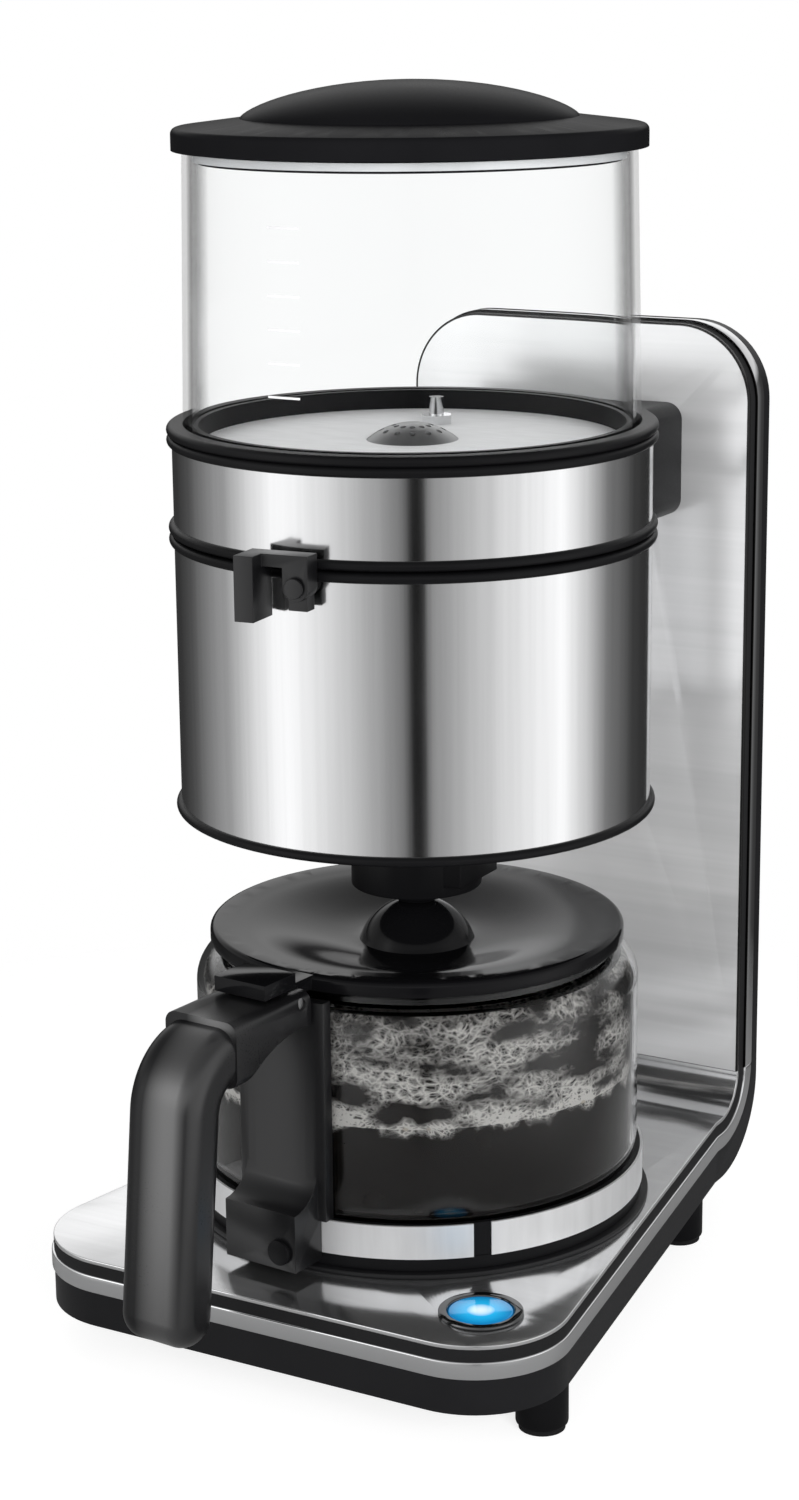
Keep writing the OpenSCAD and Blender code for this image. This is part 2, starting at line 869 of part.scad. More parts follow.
// The outlet valve: a poppet on a seat inside a brass tube, under the strainer
valve_r = 10;
valve_in_r = 7;
valve_hole_r = 4;
valve_low = shower_z + shower_t;
seat_t = 2.5;
seat_z = valve_low + seat_t;
poppet_way = 0.6;
poppet_r = valve_in_r - run_gap - poppet_way;
poppet_h = 3;
poppet_low = seat_z + rest_gap;
poppet_stem_r = 2;
valve_flange_t = 1.2;
valve_flange_r = valve_r + valve_flange_t;
guide_z = floor_z + valve_flange_t;
poppet_top = floor_z - 1 - valve_lift;
valve_spring_r = poppet_stem_r + 0.6;
valve_spring_t = 1.4;

module valve_body() {
    color(brass) on_axis() turned() {
        section(valve_in_r, valve_r, valve_low, guide_z);
        section(valve_in_r, valve_flange_r, floor_z, guide_z);
        section(valve_hole_r, valve_r, valve_low, seat_z);
    }
}

module valve_poppet() {
    color(steel) on_axis() turned() {
        section(0, poppet_r, poppet_low, poppet_low + poppet_h);
        section(0, poppet_stem_r, poppet_low, poppet_top);
    }
}

module valve_spring() {
    color(chrome) on_axis() turned()
        section(valve_spring_r, valve_spring_r + valve_spring_t, poppet_low + poppet_h, valve_spring_top);
}

strainer_t = 1;
strainer_r = strainer_d / 2;
valve_spring_top = floor_z + strainer_h - strainer_t - 0.8;
strainer_holes = 12;
strainer_rows = [6, 10];
strainer_hole_r = 1;
// Radius of the strainer's dome, from its width and height
strainer_ball_r = (strainer_r * strainer_r + strainer_h * strainer_h) / 2 / strainer_h;

strainer_mid_z = floor_z + strainer_h - strainer_ball_r;

// The strainer's dome down to the floor, outside or inside
function strainer_dome(drop) = let (r = strainer_ball_r - drop)
    arc(0, strainer_mid_z, r, 90, asin((floor_z - strainer_mid_z) / r), 8);

module valve_strainer() {
    under = strainer_dome(strainer_t);
    color(chrome) on_axis() difference() {
        turned() polygon(concat(strainer_dome(0), [for (i = [len(under) - 1 : -1 : 0]) under[i]]));
        for (i = [0 : strainer_holes - 1], r = strainer_rows)
            rotate([0, 0, i * 360 / strainer_holes])
                translate([r, 0, 0]) rod(strainer_hole_r, guide_z, far);
    }
}

probe_x = -10;
probe_y = 34;
probe_r = 2.5;
probe_h = 9;
nut_r = 5.6;
nut_h = 3;
probe_foot_r = probe_r + 2;
probe_foot_h = 4;

// The probe and the nut that holds it on the floor
module level_probe() {
    color(chrome) on_axis() translate([probe_x, probe_y, 0]) {
        rod(probe_r, floor_z - floor_t, floor_z + probe_h);
        rod(probe_foot_r, floor_z - floor_t - probe_foot_h, floor_z - floor_t);
        difference() {
            rod(nut_r, floor_z, floor_z + nut_h, 6);
            rod(probe_r + pin_gap, floor_z - 1, floor_z + nut_h + 1);
        }
    }
}

seal_h = 1.5;

module tank_seal() {
    color(rubber) on_axis() turned() section(tank_in_r, tank_r, channel_z, channel_z + seal_h);
}

// The glass stands straight in its ring and narrows above it
module water_tank() {
    foot = channel_z + seal_h;
    top = lid_cap_z - rest_gap;
    color(glass) on_axis() turned()
        polygon([[tank_in_r, foot], [tank_r, foot], [tank_r, ring_top_z], [tank_top_r, top],
            [tank_top_r - tank_t, top], [tank_in_r, ring_top_z]]);
}

// The lid of the tank: a rim over the glass, a sloping top, a dome and a plug inside the glass
lid_r = tank_top_r + lid_over;
dome_r = dome_d / 2;
lid_rim_z = lid_z + lid_rim_h;
lid_dome_z = lid_rim_z + lid_slope_h;
dome_steps = 16;
// Power of the dome's bow: a lower one is rounder at the edge
dome_bow = 1.4;
lid_seal_t = 1.6;
plug_r = tank_top_r - tank_t - run_gap - lid_seal_t;
lid_mouth_r = tank_top_r + 3 * run_gap;
lid_edge_r = 2;

// The dome's profile from its middle to its edge
function dome_points(drop) = [for (i = [0 : dome_steps]) let (a = 90 * i / dome_steps)
    [(dome_r - drop) * sin(a), lid_dome_z - drop + dome_h * pow(cos(a), dome_bow)]];

module tank_lid() {
    color(black) on_axis() turned() {
        polygon(concat(
            dome_points(0),
            arc(lid_r - lid_edge_r, lid_rim_z - lid_edge_r, lid_edge_r, 80, 0, 5),
            [[lid_r, lid_z], [lid_mouth_r, lid_z], [lid_mouth_r, lid_cap_z],
                [plug_r, lid_cap_z], [plug_r, lid_z - plug_h], [plug_r - lid_t, lid_z - plug_h],
                [plug_r - lid_t, lid_rim_z - lid_t]],
            [for (i = [dome_steps : -1 : 0]) dome_points(lid_t)[i]]));
    }
}

lid_seal_z = lid_z - plug_h + 0.8;
lid_seal_h = 2.4;

module lid_seal() {
    color(rubber) on_axis() turned()
        section(plug_r, plug_r + lid_seal_t, lid_seal_z, lid_seal_z + lid_seal_h);
}

// The filter drum's hinge, hidden at the back on the left
module at_hinge() {
    on_axis() radial(-hinge_ang) children();
}

// A knuckle on an arm that starts at the steel shell
module knuckle(z0, z1, bore_r) {
    difference() {
        union() {
            translate([hinge_r, 0, 0]) rod(knuckle_r, z0, z1);
            box([0, -knuckle_r, z0], [hinge_r, knuckle_r, z1]);
        }
        rod(drum_r + seat_gap, z0 - 1, z1 + 1, round_fn);
        translate([hinge_r, 0, 0]) rod(bore_r, z0 - 1, z1 + 1);
    }
}

head_knuckle_z = head_z + bead_h + run_gap;

module hinge_bracket() {
    color(black) at_hinge() knuckle(head_knuckle_z, head_knuckle_z + knuckle_h, hinge_pin_d / 2 + pin_gap);
}

drum_knuckle_top = drum_top_z - bead_h - run_gap;
drum_knuckle_low = drum_knuckle_top - knuckle_h;

module drum_hinge() {
    color(black) at_hinge() knuckle(drum_knuckle_low, drum_knuckle_top, hinge_pin_d / 2 + pin_gap);
}

module hinge_pin() {
    color(steel) at_hinge() translate([hinge_r, 0, 0]) {
        rod(hinge_pin_d / 2, drum_knuckle_low - rest_gap, head_knuckle_z + knuckle_h);
        rod(pin_head_r, drum_knuckle_low - rest_gap - pin_head_h, drum_knuckle_low - rest_gap);
    }
}

// The filter drum: a steel shell between two black rims, with a carrier inside
carrier_r = drum_in_r - seat_gap;
carrier_in_r = carrier_r - basket_t;
floor_rim_h = 3;
ledge_w = 5;
ledge_t = 2;
ledge_z = drum_top_z - 14;
drip_hole_r = 6;

module filter_drum() {
    color(steel) on_axis() turned()
        section(drum_in_r, drum_r, drum_z + floor_rim_h, drum_top_z - bead_h);
}

module filter_rim_top() {
    color(black) difference() {
        union() {
            on_axis() turned() {
                section(carrier_in_r, ring_r - bead_r, drum_top_z - rim_web, drum_top_z);
                bead(drum_top_z - bead_h);
            }
            at_latch() rod_x(latch_boss_r, latch_root, latch_r - run_gap);
        }
        at_latch() rod_x(latch_pin_d / 2 + pin_gap, latch_root - 1, far);
    }
}

module filter_rim_bottom() {
    color(black) on_axis() turned() {
        section(carrier_r + seat_gap, ring_r - floor_rim_h / 2, drum_z, drum_z + floor_rim_h);
        translate([ring_r - floor_rim_h / 2, drum_z + floor_rim_h / 2])
            circle(floor_rim_h / 2, $fn = small_fn);
    }
}

module filter_carrier() {
    color(black) on_axis() turned() {
        section(carrier_in_r, carrier_r, drum_z, drum_top_z - bead_h);
        section(drip_hole_r, carrier_r, drum_z, drum_z + basket_t);
        section(carrier_in_r - ledge_w, carrier_r, ledge_z - ledge_t, ledge_z);
    }
}

// The basket hangs by its rim on the carrier's ledge
basket_r = basket_d / 2;
basket_floor_r = basket_floor_d / 2;
basket_rim_r = carrier_in_r - seat_gap * 3;
basket_low = ledge_z - basket_h;

module filter_basket() {
    color(black) on_axis() turned() {
        polygon([[drip_hole_r, basket_low], [basket_floor_r, basket_low],
            [basket_r, ledge_z], [basket_rim_r, ledge_z], [basket_rim_r, ledge_z + basket_t],
            [basket_r - basket_t, ledge_z + basket_t], [basket_floor_r - basket_t, basket_low + basket_t],
            [drip_hole_r, basket_low + basket_t]]);
    }
}

// The drip stop under the drum: a housing, a sprung plunger and its spring
wing_w = 26;
wing_out = 24;
wing_rise = 4;
drip_spring_r = drip_hole_r + 1;
drip_spring_t = 2;

module drip_housing() {
    color(black) on_axis() difference() {
        union() {
            rod(drip_d / 2, drip_z, drum_z, round_fn);
            box([0, -wing_w / 2, drip_z + wing_rise], [wing_out, wing_w / 2, drum_z]);
            rod(drip_neck_d / 2, neck_z, drum_z, round_fn);
        }
        rod(cavity_r, drip_z + drip_floor, drum_z + 1, round_fn);
        rod(plunger_bore_r, neck_z - 1, drum_z, round_fn);
    }
}

module drip_valve() {
    color(black) on_axis() turned() {
        section(0, plunger_d / 2, plunger_z + plunger_tip_h, collar_z + collar_h);
        polygon([[0, plunger_z], [plunger_tip_r, plunger_z],
            [plunger_d / 2, plunger_z + plunger_tip_h], [0, plunger_z + plunger_tip_h]]);
        section(0, collar_r, collar_z, collar_z + collar_h);
    }
}

module drip_spring() {
    color(chrome) on_axis() turned()
        section(drip_spring_r, drip_spring_r + drip_spring_t, collar_z + collar_h, drum_z);
}

// The latch lever at the parting line: a hub on a pin, an arm and a thumb tab
// Where the boss and the pin start on the steel shell
latch_root = drum_r + seat_gap;

module at_latch() {
    on_axis() radial(latch_ang) translate([0, 0, latch_z]) children();
}

arm_h = 4;
arm_top = 10;
latch_foot_w = 6.4;
latch_foot_h = 7.5;
latch_foot_t = latch_t - 2;

module latch_lever() {
    color(black) at_latch() difference() {
        union() {
            rod_x(latch_hub_d / 2, latch_r, latch_r + latch_t);
            box([latch_r, -latch_hub_d / 2, 0], [latch_r + latch_t, latch_hub_d / 2, arm_top]);
            box([latch_r, -latch_arm - latch_tab_w / 2, arm_top - arm_h], [latch_r + latch_t, 0, arm_top]);
            box([latch_r, -latch_arm - latch_tab_w / 2, arm_top - latch_tab_h],
                [latch_r + latch_tab_d, latch_tab_w / 2 - latch_arm, arm_top]);
            box([latch_r, -latch_foot_w / 2, -latch_foot_h], [latch_r + latch_foot_t, latch_foot_w / 2, 0]);
        }
        rod_x(latch_pin_d / 2 + pin_gap, 0, far);
    }
}

latch_head_r = latch_pin_d / 2 + 1.2;
latch_head_h = 1.2;

module latch_pin() {
    color(steel) at_latch() {
        rod_x(latch_pin_d / 2, latch_root, latch_r + latch_t + rest_gap);
        translate([latch_r + latch_t + rest_gap, 0, 0]) rod_x(latch_head_r, 0, latch_head_h);
    }
}

// The carafe's glass
function glass_profile(t) = concat(
    arc(carafe_r - carafe_foot_r, glass_z + carafe_foot_r, carafe_foot_r - t, -90, 0, 10),
    arc(carafe_r - carafe_shoulder_r, shoulder_z, carafe_shoulder_r - t, 0, neck_turn, 8),
    [[neck_r - t, glass_top]]);

module carafe_glass() {
    inside = glass_profile(carafe_t);
    color(glass) on_axis() turned()
        polygon(concat([[0, glass_z]], glass_profile(0),
            [for (i = [len(inside) - 1 : -1 : 0]) inside[i]], [[0, glass_z + carafe_t]]));
}

module carafe_band() {
    color(chrome) on_axis() difference() {
        turned() section(band_r - carafe_band_t, band_r, band_z, band_z + carafe_band_h);
        radial(band_gap_ang)
            box([0, -band_gap_w / 2, band_z - 1], [far, band_gap_w / 2, band_z + carafe_band_h + 1]);
    }
}

ring_wall_r = band_r - carafe_band_t - seat_gap;
ring_floor_r = 58;
ring_in = 0.6;

module carafe_base() {
    color(black) on_axis() difference() {
        turned() {
            section(ring_floor_r, ring_wall_r, carafe_z, band_z + carafe_band_h);
            section(ring_floor_r, band_r - ring_in, carafe_z, band_z);
        }
        turned() polygon(concat([[0, glass_z - seat_gap]],
            arc(carafe_r - carafe_foot_r, glass_z + carafe_foot_r, carafe_foot_r + seat_gap, -90, 0, 10),
            [[0, glass_z + carafe_foot_r]]));
    }
}

// The grip's section, its thickness along X
module grip_profile() {
    round_rect(grip_t, grip_w, grip_edge_r);
}

// Sweeps a section about an axis across the handle, from one angle to the other
module handle_turn(from, to) {
    rotate([90, 0, 0]) rotate([0, 0, from]) rotate_extrude(angle = to - from, $fn = round_fn) children();
}

// The grip, drawn along its leaning leg: the bend's upper end lies inside the block
module grip() {
    translate([grip_out, 0, grip_end_z]) rotate([0, -grip_lean, 0]) {
        handle_turn(-180, 0) intersection() {
            grip_profile();
            translate([0, -grip_w]) square([grip_t, 2 * grip_w]);
        }
        linear_extrude(grip_leg) grip_profile();
        translate([-grip_bend, 0, grip_leg])
            handle_turn(0, 90 - grip_lean) translate([grip_bend, 0]) grip_profile();
    }
}

// The arm over the fingers, with an arch under it
module handle_block() {
    difference() {
        translate([handle_block_r, 0, (handle_block_low + block_top_z) / 2]) rotate([90, 0, 90])
            linear_extrude(handle_block_out - handle_block_r)
                round_rect(handle_block_w, block_top_z - handle_block_low, handle_block_edge);
        translate([arch_x, 0, arch_top_z - arch_r]) rod_y(arch_r, -grip_w, grip_w);
    }
}

module carafe_handle() {
    color(black) on_axis() radial(handle_ang) difference() {
        union() {
            grip();
            handle_block();
        }
        box([0, -tab_w / 2 - collar_gap, lid_pin_z - lid_knuckle_r - collar_gap],
            [lid_pin_x + lid_knuckle_r + collar_gap, tab_w / 2 + collar_gap, far]);
        translate([lid_pin_x, 0, lid_pin_z]) rod_y(lid_pin_r + pin_gap, -far, far);
    }
}

// The plate between the handle and the glass, with its clamp on the steel band
rest_plate_t = 4;
plate_top_z = glass_top - 0.5;
handle_block_r = plate_r + rest_plate_t + seat_gap;
arch_x = handle_block_r + 6;
arch_top_z = glass_top - 7;
arch_drop = arch_top_z - handle_block_low;
arch_reach = grip_turn_x - 2 - arch_x;
arch_r = (arch_reach * arch_reach + arch_drop * arch_drop) / 2 / arch_drop;
clamp_face = clamp_r + clamp_out;
clamp_half_w = plate_half_w - 3;
clamp_low = carafe_z + 2;
// The bend from the plate to the clamp starts inside the plate
clamp_bend = clamp_face - plate_r - rest_plate_t + 1.5;
clamp_screw_y = 8;
clamp_screw_r = 1.8;
clamp_head_r = clamp_screw_r + 2.4;
clamp_head_h = 1.6;
clamp_step_z = band_z + carafe_band_h + collar_gap;

module at_clamp_screw() {
    on_axis() radial(handle_ang) translate([0, clamp_screw_y, screw_z]) children();
}

module clamp_profile() {
    polygon(concat([[0, clamp_low], [clamp_face, clamp_low]],
        arc(clamp_face, clamp_top + clamp_bend, clamp_bend, 270, 180, 8), [[0, clamp_top + clamp_bend]]));
}

module handle_plate() {
    color(black) difference() {
        on_axis() radial(handle_ang) {
            intersection() {
                turned() section(plate_r, plate_r + rest_plate_t, clamp_step_z, plate_top_z);
                box([0, -plate_half_w, 0], [far, plate_half_w, far]);
            }
            difference() {
                rotate([90, 0, 0]) translate([0, 0, -clamp_half_w])
                    linear_extrude(2 * clamp_half_w) clamp_profile();
                rod(clamp_r, 0, clamp_step_z, round_fn);
                rod(plate_r, 0, far, round_fn);
            }
        }
        at_clamp_screw() rod_x(clamp_screw_r + pin_gap, 0, far);
    }
}

module handle_screw() {
    color(chrome) at_clamp_screw() {
        rod_x(clamp_screw_r, clamp_r + 1, clamp_face);
        rod_x(clamp_head_r, clamp_face, clamp_face + clamp_head_h);
    }
}

// The lid of the carafe: a dish with a dome in the middle and a thumb tab over the handle
serve_r = serve_lid_d / 2;
serve_turn = asin(min(1, serve_dome_r / serve_ball_r));
serve_skirt_r = neck_r - carafe_t - collar_gap;
tab_w = 14;
thumb_w = 20;
thumb_h = 5;
thumb_out = serve_r + 28;
lid_pin_x = serve_r + 14;
lid_pin_z = glass_top + 0.8;
lid_pin_r = 1.8;
lid_knuckle_r = 4;
// How far the tab reaches into the lid's rim and across its pin
tab_in = 1.5;
tab_half = 2;
serve_edge_r = 2;
skirt_h = 6;

dish_steps = 12;
dish_r = serve_r - 8;
dish_rim_z = serve_rim_z - 0.6;

function serve_dome(drop) = let (r = serve_ball_r - drop)
    arc(0, serve_dome_z - serve_ball_r, r, 90 - asin(serve_hole_r / r), 90 - serve_turn, 10);

// The dish rises from the dome to the rim, level at both ends
function dish_points() = [for (i = [1 : dish_steps]) let (s = i / dish_steps)
    [serve_dome_r + (dish_r - serve_dome_r) * s, dish_z + (dish_rim_z - dish_z) * s * s * (3 - 2 * s)]];

module carafe_lid() {
    under = serve_dome(serve_lid_t);
    color(black) on_axis() {
        turned() polygon(concat(
            serve_dome(0),
            dish_points(),
            arc(serve_r - serve_edge_r, serve_rim_z - serve_edge_r, serve_edge_r, 90, 0, 5),
            [[serve_r, glass_top], [serve_skirt_r, glass_top], [serve_skirt_r, glass_top - skirt_h],
                [serve_skirt_r - serve_lid_t, glass_top - skirt_h], [serve_skirt_r - serve_lid_t, glass_top],
                [serve_dome_r + 2, dish_z - serve_lid_t]],
            [for (i = [len(under) - 1 : -1 : 0]) under[i]]));
        radial(handle_ang) difference() {
            union() {
                box([serve_r - tab_in, -tab_w / 2, glass_top + 0.5], [lid_pin_x, tab_w / 2, serve_rim_z]);
                translate([lid_pin_x, 0, lid_pin_z]) rod_y(lid_knuckle_r, -tab_w / 2, tab_w / 2);
                box([lid_pin_x - tab_half, -tab_w / 2, lid_pin_z],
                    [lid_pin_x + tab_half, tab_w / 2, serve_rim_z + 1]);
                box([lid_pin_x - tab_half, -thumb_w / 2, serve_rim_z],
                    [thumb_out, thumb_w / 2, serve_rim_z + thumb_h]);
            }
            translate([lid_pin_x, 0, lid_pin_z]) rod_y(lid_pin_r + pin_gap, -far, far);
        }
    }
}

module carafe_lid_pin() {
    color(steel) on_axis() radial(handle_ang) translate([lid_pin_x, 0, lid_pin_z])
        rod_y(lid_pin_r, 1 - handle_block_w / 2, handle_block_w / 2 - 1);
}

base_tray();
base_plate();
base_gasket();
base_band();
column_back();
column_plate();
column_gasket();
column_band();
feet();
foot_pads();
screws();
warming_plate();
warming_heater();
plate_thermostat();
control_board();
button_bezel();
button_lens();
button_spring();
button_switch();
terminal_block();
wire_harness();
cord_inlet();
bracket_block();
head_rim();
heater_shell();
top_ring();
tank_floor();
tank_heater();
tank_thermostat();
shower_plate();
valve_body();
valve_poppet();
valve_spring();
valve_strainer();
level_probe();
tank_seal();
water_tank();
tank_lid();
lid_seal();
hinge_bracket();
hinge_pin();
drum_hinge();
filter_drum();
filter_rim_top();
filter_rim_bottom();
filter_carrier();
filter_basket();
drip_housing();
drip_valve();
drip_spring();
latch_lever();
latch_pin();
carafe_glass();
carafe_band();
carafe_base();
carafe_handle();
handle_plate();
handle_screw();
carafe_lid();
carafe_lid_pin();
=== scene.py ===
"""Looks of the drip coffee maker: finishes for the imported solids, the coffee in the carafe and the studio."""

import json
import math

import bmesh
import bpy
from bpy.props import FloatProperty, FloatVectorProperty, IntProperty, PointerProperty
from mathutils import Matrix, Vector


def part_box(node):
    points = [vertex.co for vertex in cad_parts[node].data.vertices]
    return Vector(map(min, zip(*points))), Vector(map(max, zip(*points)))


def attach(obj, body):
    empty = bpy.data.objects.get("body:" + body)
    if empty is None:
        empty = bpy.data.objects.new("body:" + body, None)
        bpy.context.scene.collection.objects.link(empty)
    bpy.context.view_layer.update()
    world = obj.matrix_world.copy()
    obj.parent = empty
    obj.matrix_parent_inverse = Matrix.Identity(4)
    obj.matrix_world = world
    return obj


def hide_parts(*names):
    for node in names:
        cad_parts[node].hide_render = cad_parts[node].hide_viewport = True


bl_info = {
    "name": "Drip coffee maker",
    "version": (1, 0, 0),
    "blender": (4, 5, 0),
    "location": "3D View > Sidebar > Coffee maker",
    "description": "Finishes, coffee and studio for the drip coffee maker",
    "category": "Object",
}

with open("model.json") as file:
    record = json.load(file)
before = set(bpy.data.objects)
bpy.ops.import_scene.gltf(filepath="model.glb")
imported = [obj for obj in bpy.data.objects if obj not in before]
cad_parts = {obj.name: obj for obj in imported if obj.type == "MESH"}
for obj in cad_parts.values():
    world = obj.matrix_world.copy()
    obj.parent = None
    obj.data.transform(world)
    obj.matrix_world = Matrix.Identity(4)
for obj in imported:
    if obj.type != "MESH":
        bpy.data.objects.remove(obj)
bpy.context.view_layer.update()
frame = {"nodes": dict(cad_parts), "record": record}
BODY_OF = {node: body for body, nodes in frame["record"]["behaviour"]["bodies"].items() for node in nodes}
SLOT_OF = {row["node"]: row["material_slot"] for row in frame["record"]["subparts"]}
MM = 0.001


def middle(node):
    """The middle of a node's box."""
    low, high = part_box(node)
    return (low + high) / 2


AXIS = middle("filter_drum")
BUTTON = middle("button_lens")
COLUMN_CORNER = 27.2 * MM
SEAM = (0.02, 0.02, 0.02)

# The carafe's glass: wall, foot radius, shoulder radius and its turn in degrees, height of the neck
GLASS_WALL = 2.4 * MM
GLASS_FOOT = 20 * MM
GLASS_SHOULDER = 12 * MM
GLASS_TURN = 72.0
GLASS_NECK = 3.4 * MM

# The tank narrows by this radius above its ring; the marks on it keep a margin from ring and lid
TANK_TAPER = 2.0 * MM
MARK_MARGIN = 16 * MM

# When a face of a shell counts as level, two faces as square, and a face as more than a sliver
LEVEL = 0.02
SQUARE = 0.15
SLIVER = 20 * MM * MM

# The studio, in metres and degrees: floor and the square of the distance at which it begins to fade, lamps, and the
# camera from the drum's axis
FLOOR_RADIUS = 0.5
FLOOR_FADE = 0.05
LAMP_SIZE = (0.5, 1.0)
LAMP_AWAY = 1.5
LAMP_HEIGHT = 0.4
LAMP_AIM = 0.2
LEFT_TURN = -38.0
FRONT_TURN = 52.0
CAMERA_AT = (0.48944, -0.85724, 0.45134)
CAMERA_TURN = (75.482, 0.592, 29.879)

# Grey levels round the studio by degrees to the right of the front: at the object's height, and above it
LOW_WALLS = (
    (-180, 0.03), (-150, 0.03), (-122, 0.04), (-104, 0.09), (-70, 0.4), (-50, 0.95), (-36, 1.25), (-22, 1.05),
    (-8, 0.78), (16, 0.36), (26, 0.2), (27.5, 0.0), (35, 0.0), (36.5, 0.31), (52, 0.52), (78, 0.9), (94, 1.12),
    (104, 1.25), (114, 0.9), (134, 0.22), (160, 0.05), (180, 0.03),
)
HIGH_WALLS = (
    (-180, 0.9), (-160, 1.1), (-140, 1.1), (-110, 0.6), (-68, 0.7), (-50, 1.1), (-36, 1.8), (-22, 1.1), (0, 0.8),
    (60, 0.7), (94, 0.9), (112, 0.9), (135, 0.6), (160, 0.7), (180, 0.8),
)
CEILING = (0.3, 0.3, 0.3)
WHITE = (1.0, 1.0, 1.0)
BLACK = (0.0, 0.0, 0.0)


# What a user would change


class BrewerFinishes(bpy.types.PropertyGroup):
    """Colours of the finishes."""

    steel: FloatVectorProperty(
        name="Steel", description="Tint of the polished sheet steel", subtype="COLOR", default=(0.8, 0.803, 0.81)
    )
    chrome: FloatVectorProperty(
        name="Chrome", description="Tint of the plated bands", subtype="COLOR", default=(0.86, 0.865, 0.875)
    )
    black: FloatVectorProperty(
        name="Black plastic",
        description="Colour of the satin plastic",
        subtype="COLOR",
        default=(0.0045, 0.0045, 0.005),
    )
    gloss: FloatVectorProperty(
        name="Gloss black", description="Colour of the carafe's lid", subtype="COLOR", default=(0.004, 0.004, 0.0045)
    )
    coffee: FloatVectorProperty(
        name="Coffee", description="Colour of the brewed coffee", subtype="COLOR", default=(0.004, 0.0026, 0.0018)
    )
    glow: FloatVectorProperty(
        name="Button light", description="Colour of the lit lens", subtype="COLOR", default=(0.002, 0.25, 0.6)
    )


class BrewerSizes(bpy.types.PropertyGroup):
    """Sizes of what the scene adds."""

    edge: FloatProperty(
        name="Edge", description="Rounding of moulded edges", unit="LENGTH", default=0.7 * MM, min=0.0, max=2 * MM
    )
    coffee_level: FloatProperty(
        name="Coffee level", description="Height of the coffee above the table", unit="LENGTH", default=89 * MM
    )
    froth_height: FloatProperty(
        name="Froth height",
        description="Height at which the froth on the glass thins out",
        unit="LENGTH",
        default=34 * MM,
    )
    shell_round: FloatProperty(
        name="Shell rounding", description="Rounding of the stand's black shell", unit="LENGTH", default=4.5 * MM
    )
    # Half the width of the painted highlight along the grip's middle, a band of clear coat
    grip_shine: FloatProperty(
        name="Grip shine", description="Half the width of the worn shine on the grip", unit="LENGTH", default=10 * MM
    )
    bubbles: IntProperty(name="Bubbles", description="Bubbles round the coffee's edge", default=150, min=0, max=400)
    marks: IntProperty(name="Level marks", description="Marks on the tank's glass", default=6, min=0, max=12)


class BrewerStage(bpy.types.PropertyGroup):
    """The studio."""

    lens: FloatProperty(name="Lens", description="Focal length", unit="CAMERA", default=73.2)
    left: FloatProperty(name="Left light", description="Power of the light on the left", unit="POWER", default=6.0)
    front: FloatProperty(name="Front light", description="Power of the light on the column", unit="POWER", default=21.0)


# Shader maths


class Wire:
    """A shader value that takes part in Python arithmetic: each operator adds one Math node."""

    def __init__(self, tree, socket):
        self.tree = tree
        self.socket = socket

    def _math(self, operation, first, second=None):
        node = self.tree.nodes.new("ShaderNodeMath")
        node.operation = operation
        for socket, value in zip(node.inputs, (first, second)):
            if isinstance(value, Wire):
                self.tree.links.new(value.socket, socket)
            elif value is not None:
                socket.default_value = value
        return Wire(self.tree, node.outputs[0])

    def __add__(self, other):
        return self._math("ADD", self, other)

    __radd__ = __add__

    def __sub__(self, other):
        return self._math("SUBTRACT", self, other)

    def __rsub__(self, other):
        return self._math("SUBTRACT", other, self)

    def __mul__(self, other):
        return self._math("MULTIPLY", self, other)

    __rmul__ = __mul__

    def __truediv__(self, other):
        return self._math("DIVIDE", self, other)

    def above(self, edge):
        return self._math("GREATER_THAN", self, edge)

    def size(self):
        return self._math("ABSOLUTE", self)

    def angle_from(self, other):
        return self._math("ARCTAN2", self, other)

    def clamped(self):
        return self._math("MINIMUM", self._math("MAXIMUM", self, 0.0), 1.0)


def shade(colour, factor):
    return tuple(channel * factor for channel in colour)


def colour4(colour):
    return (*colour, 1.0)


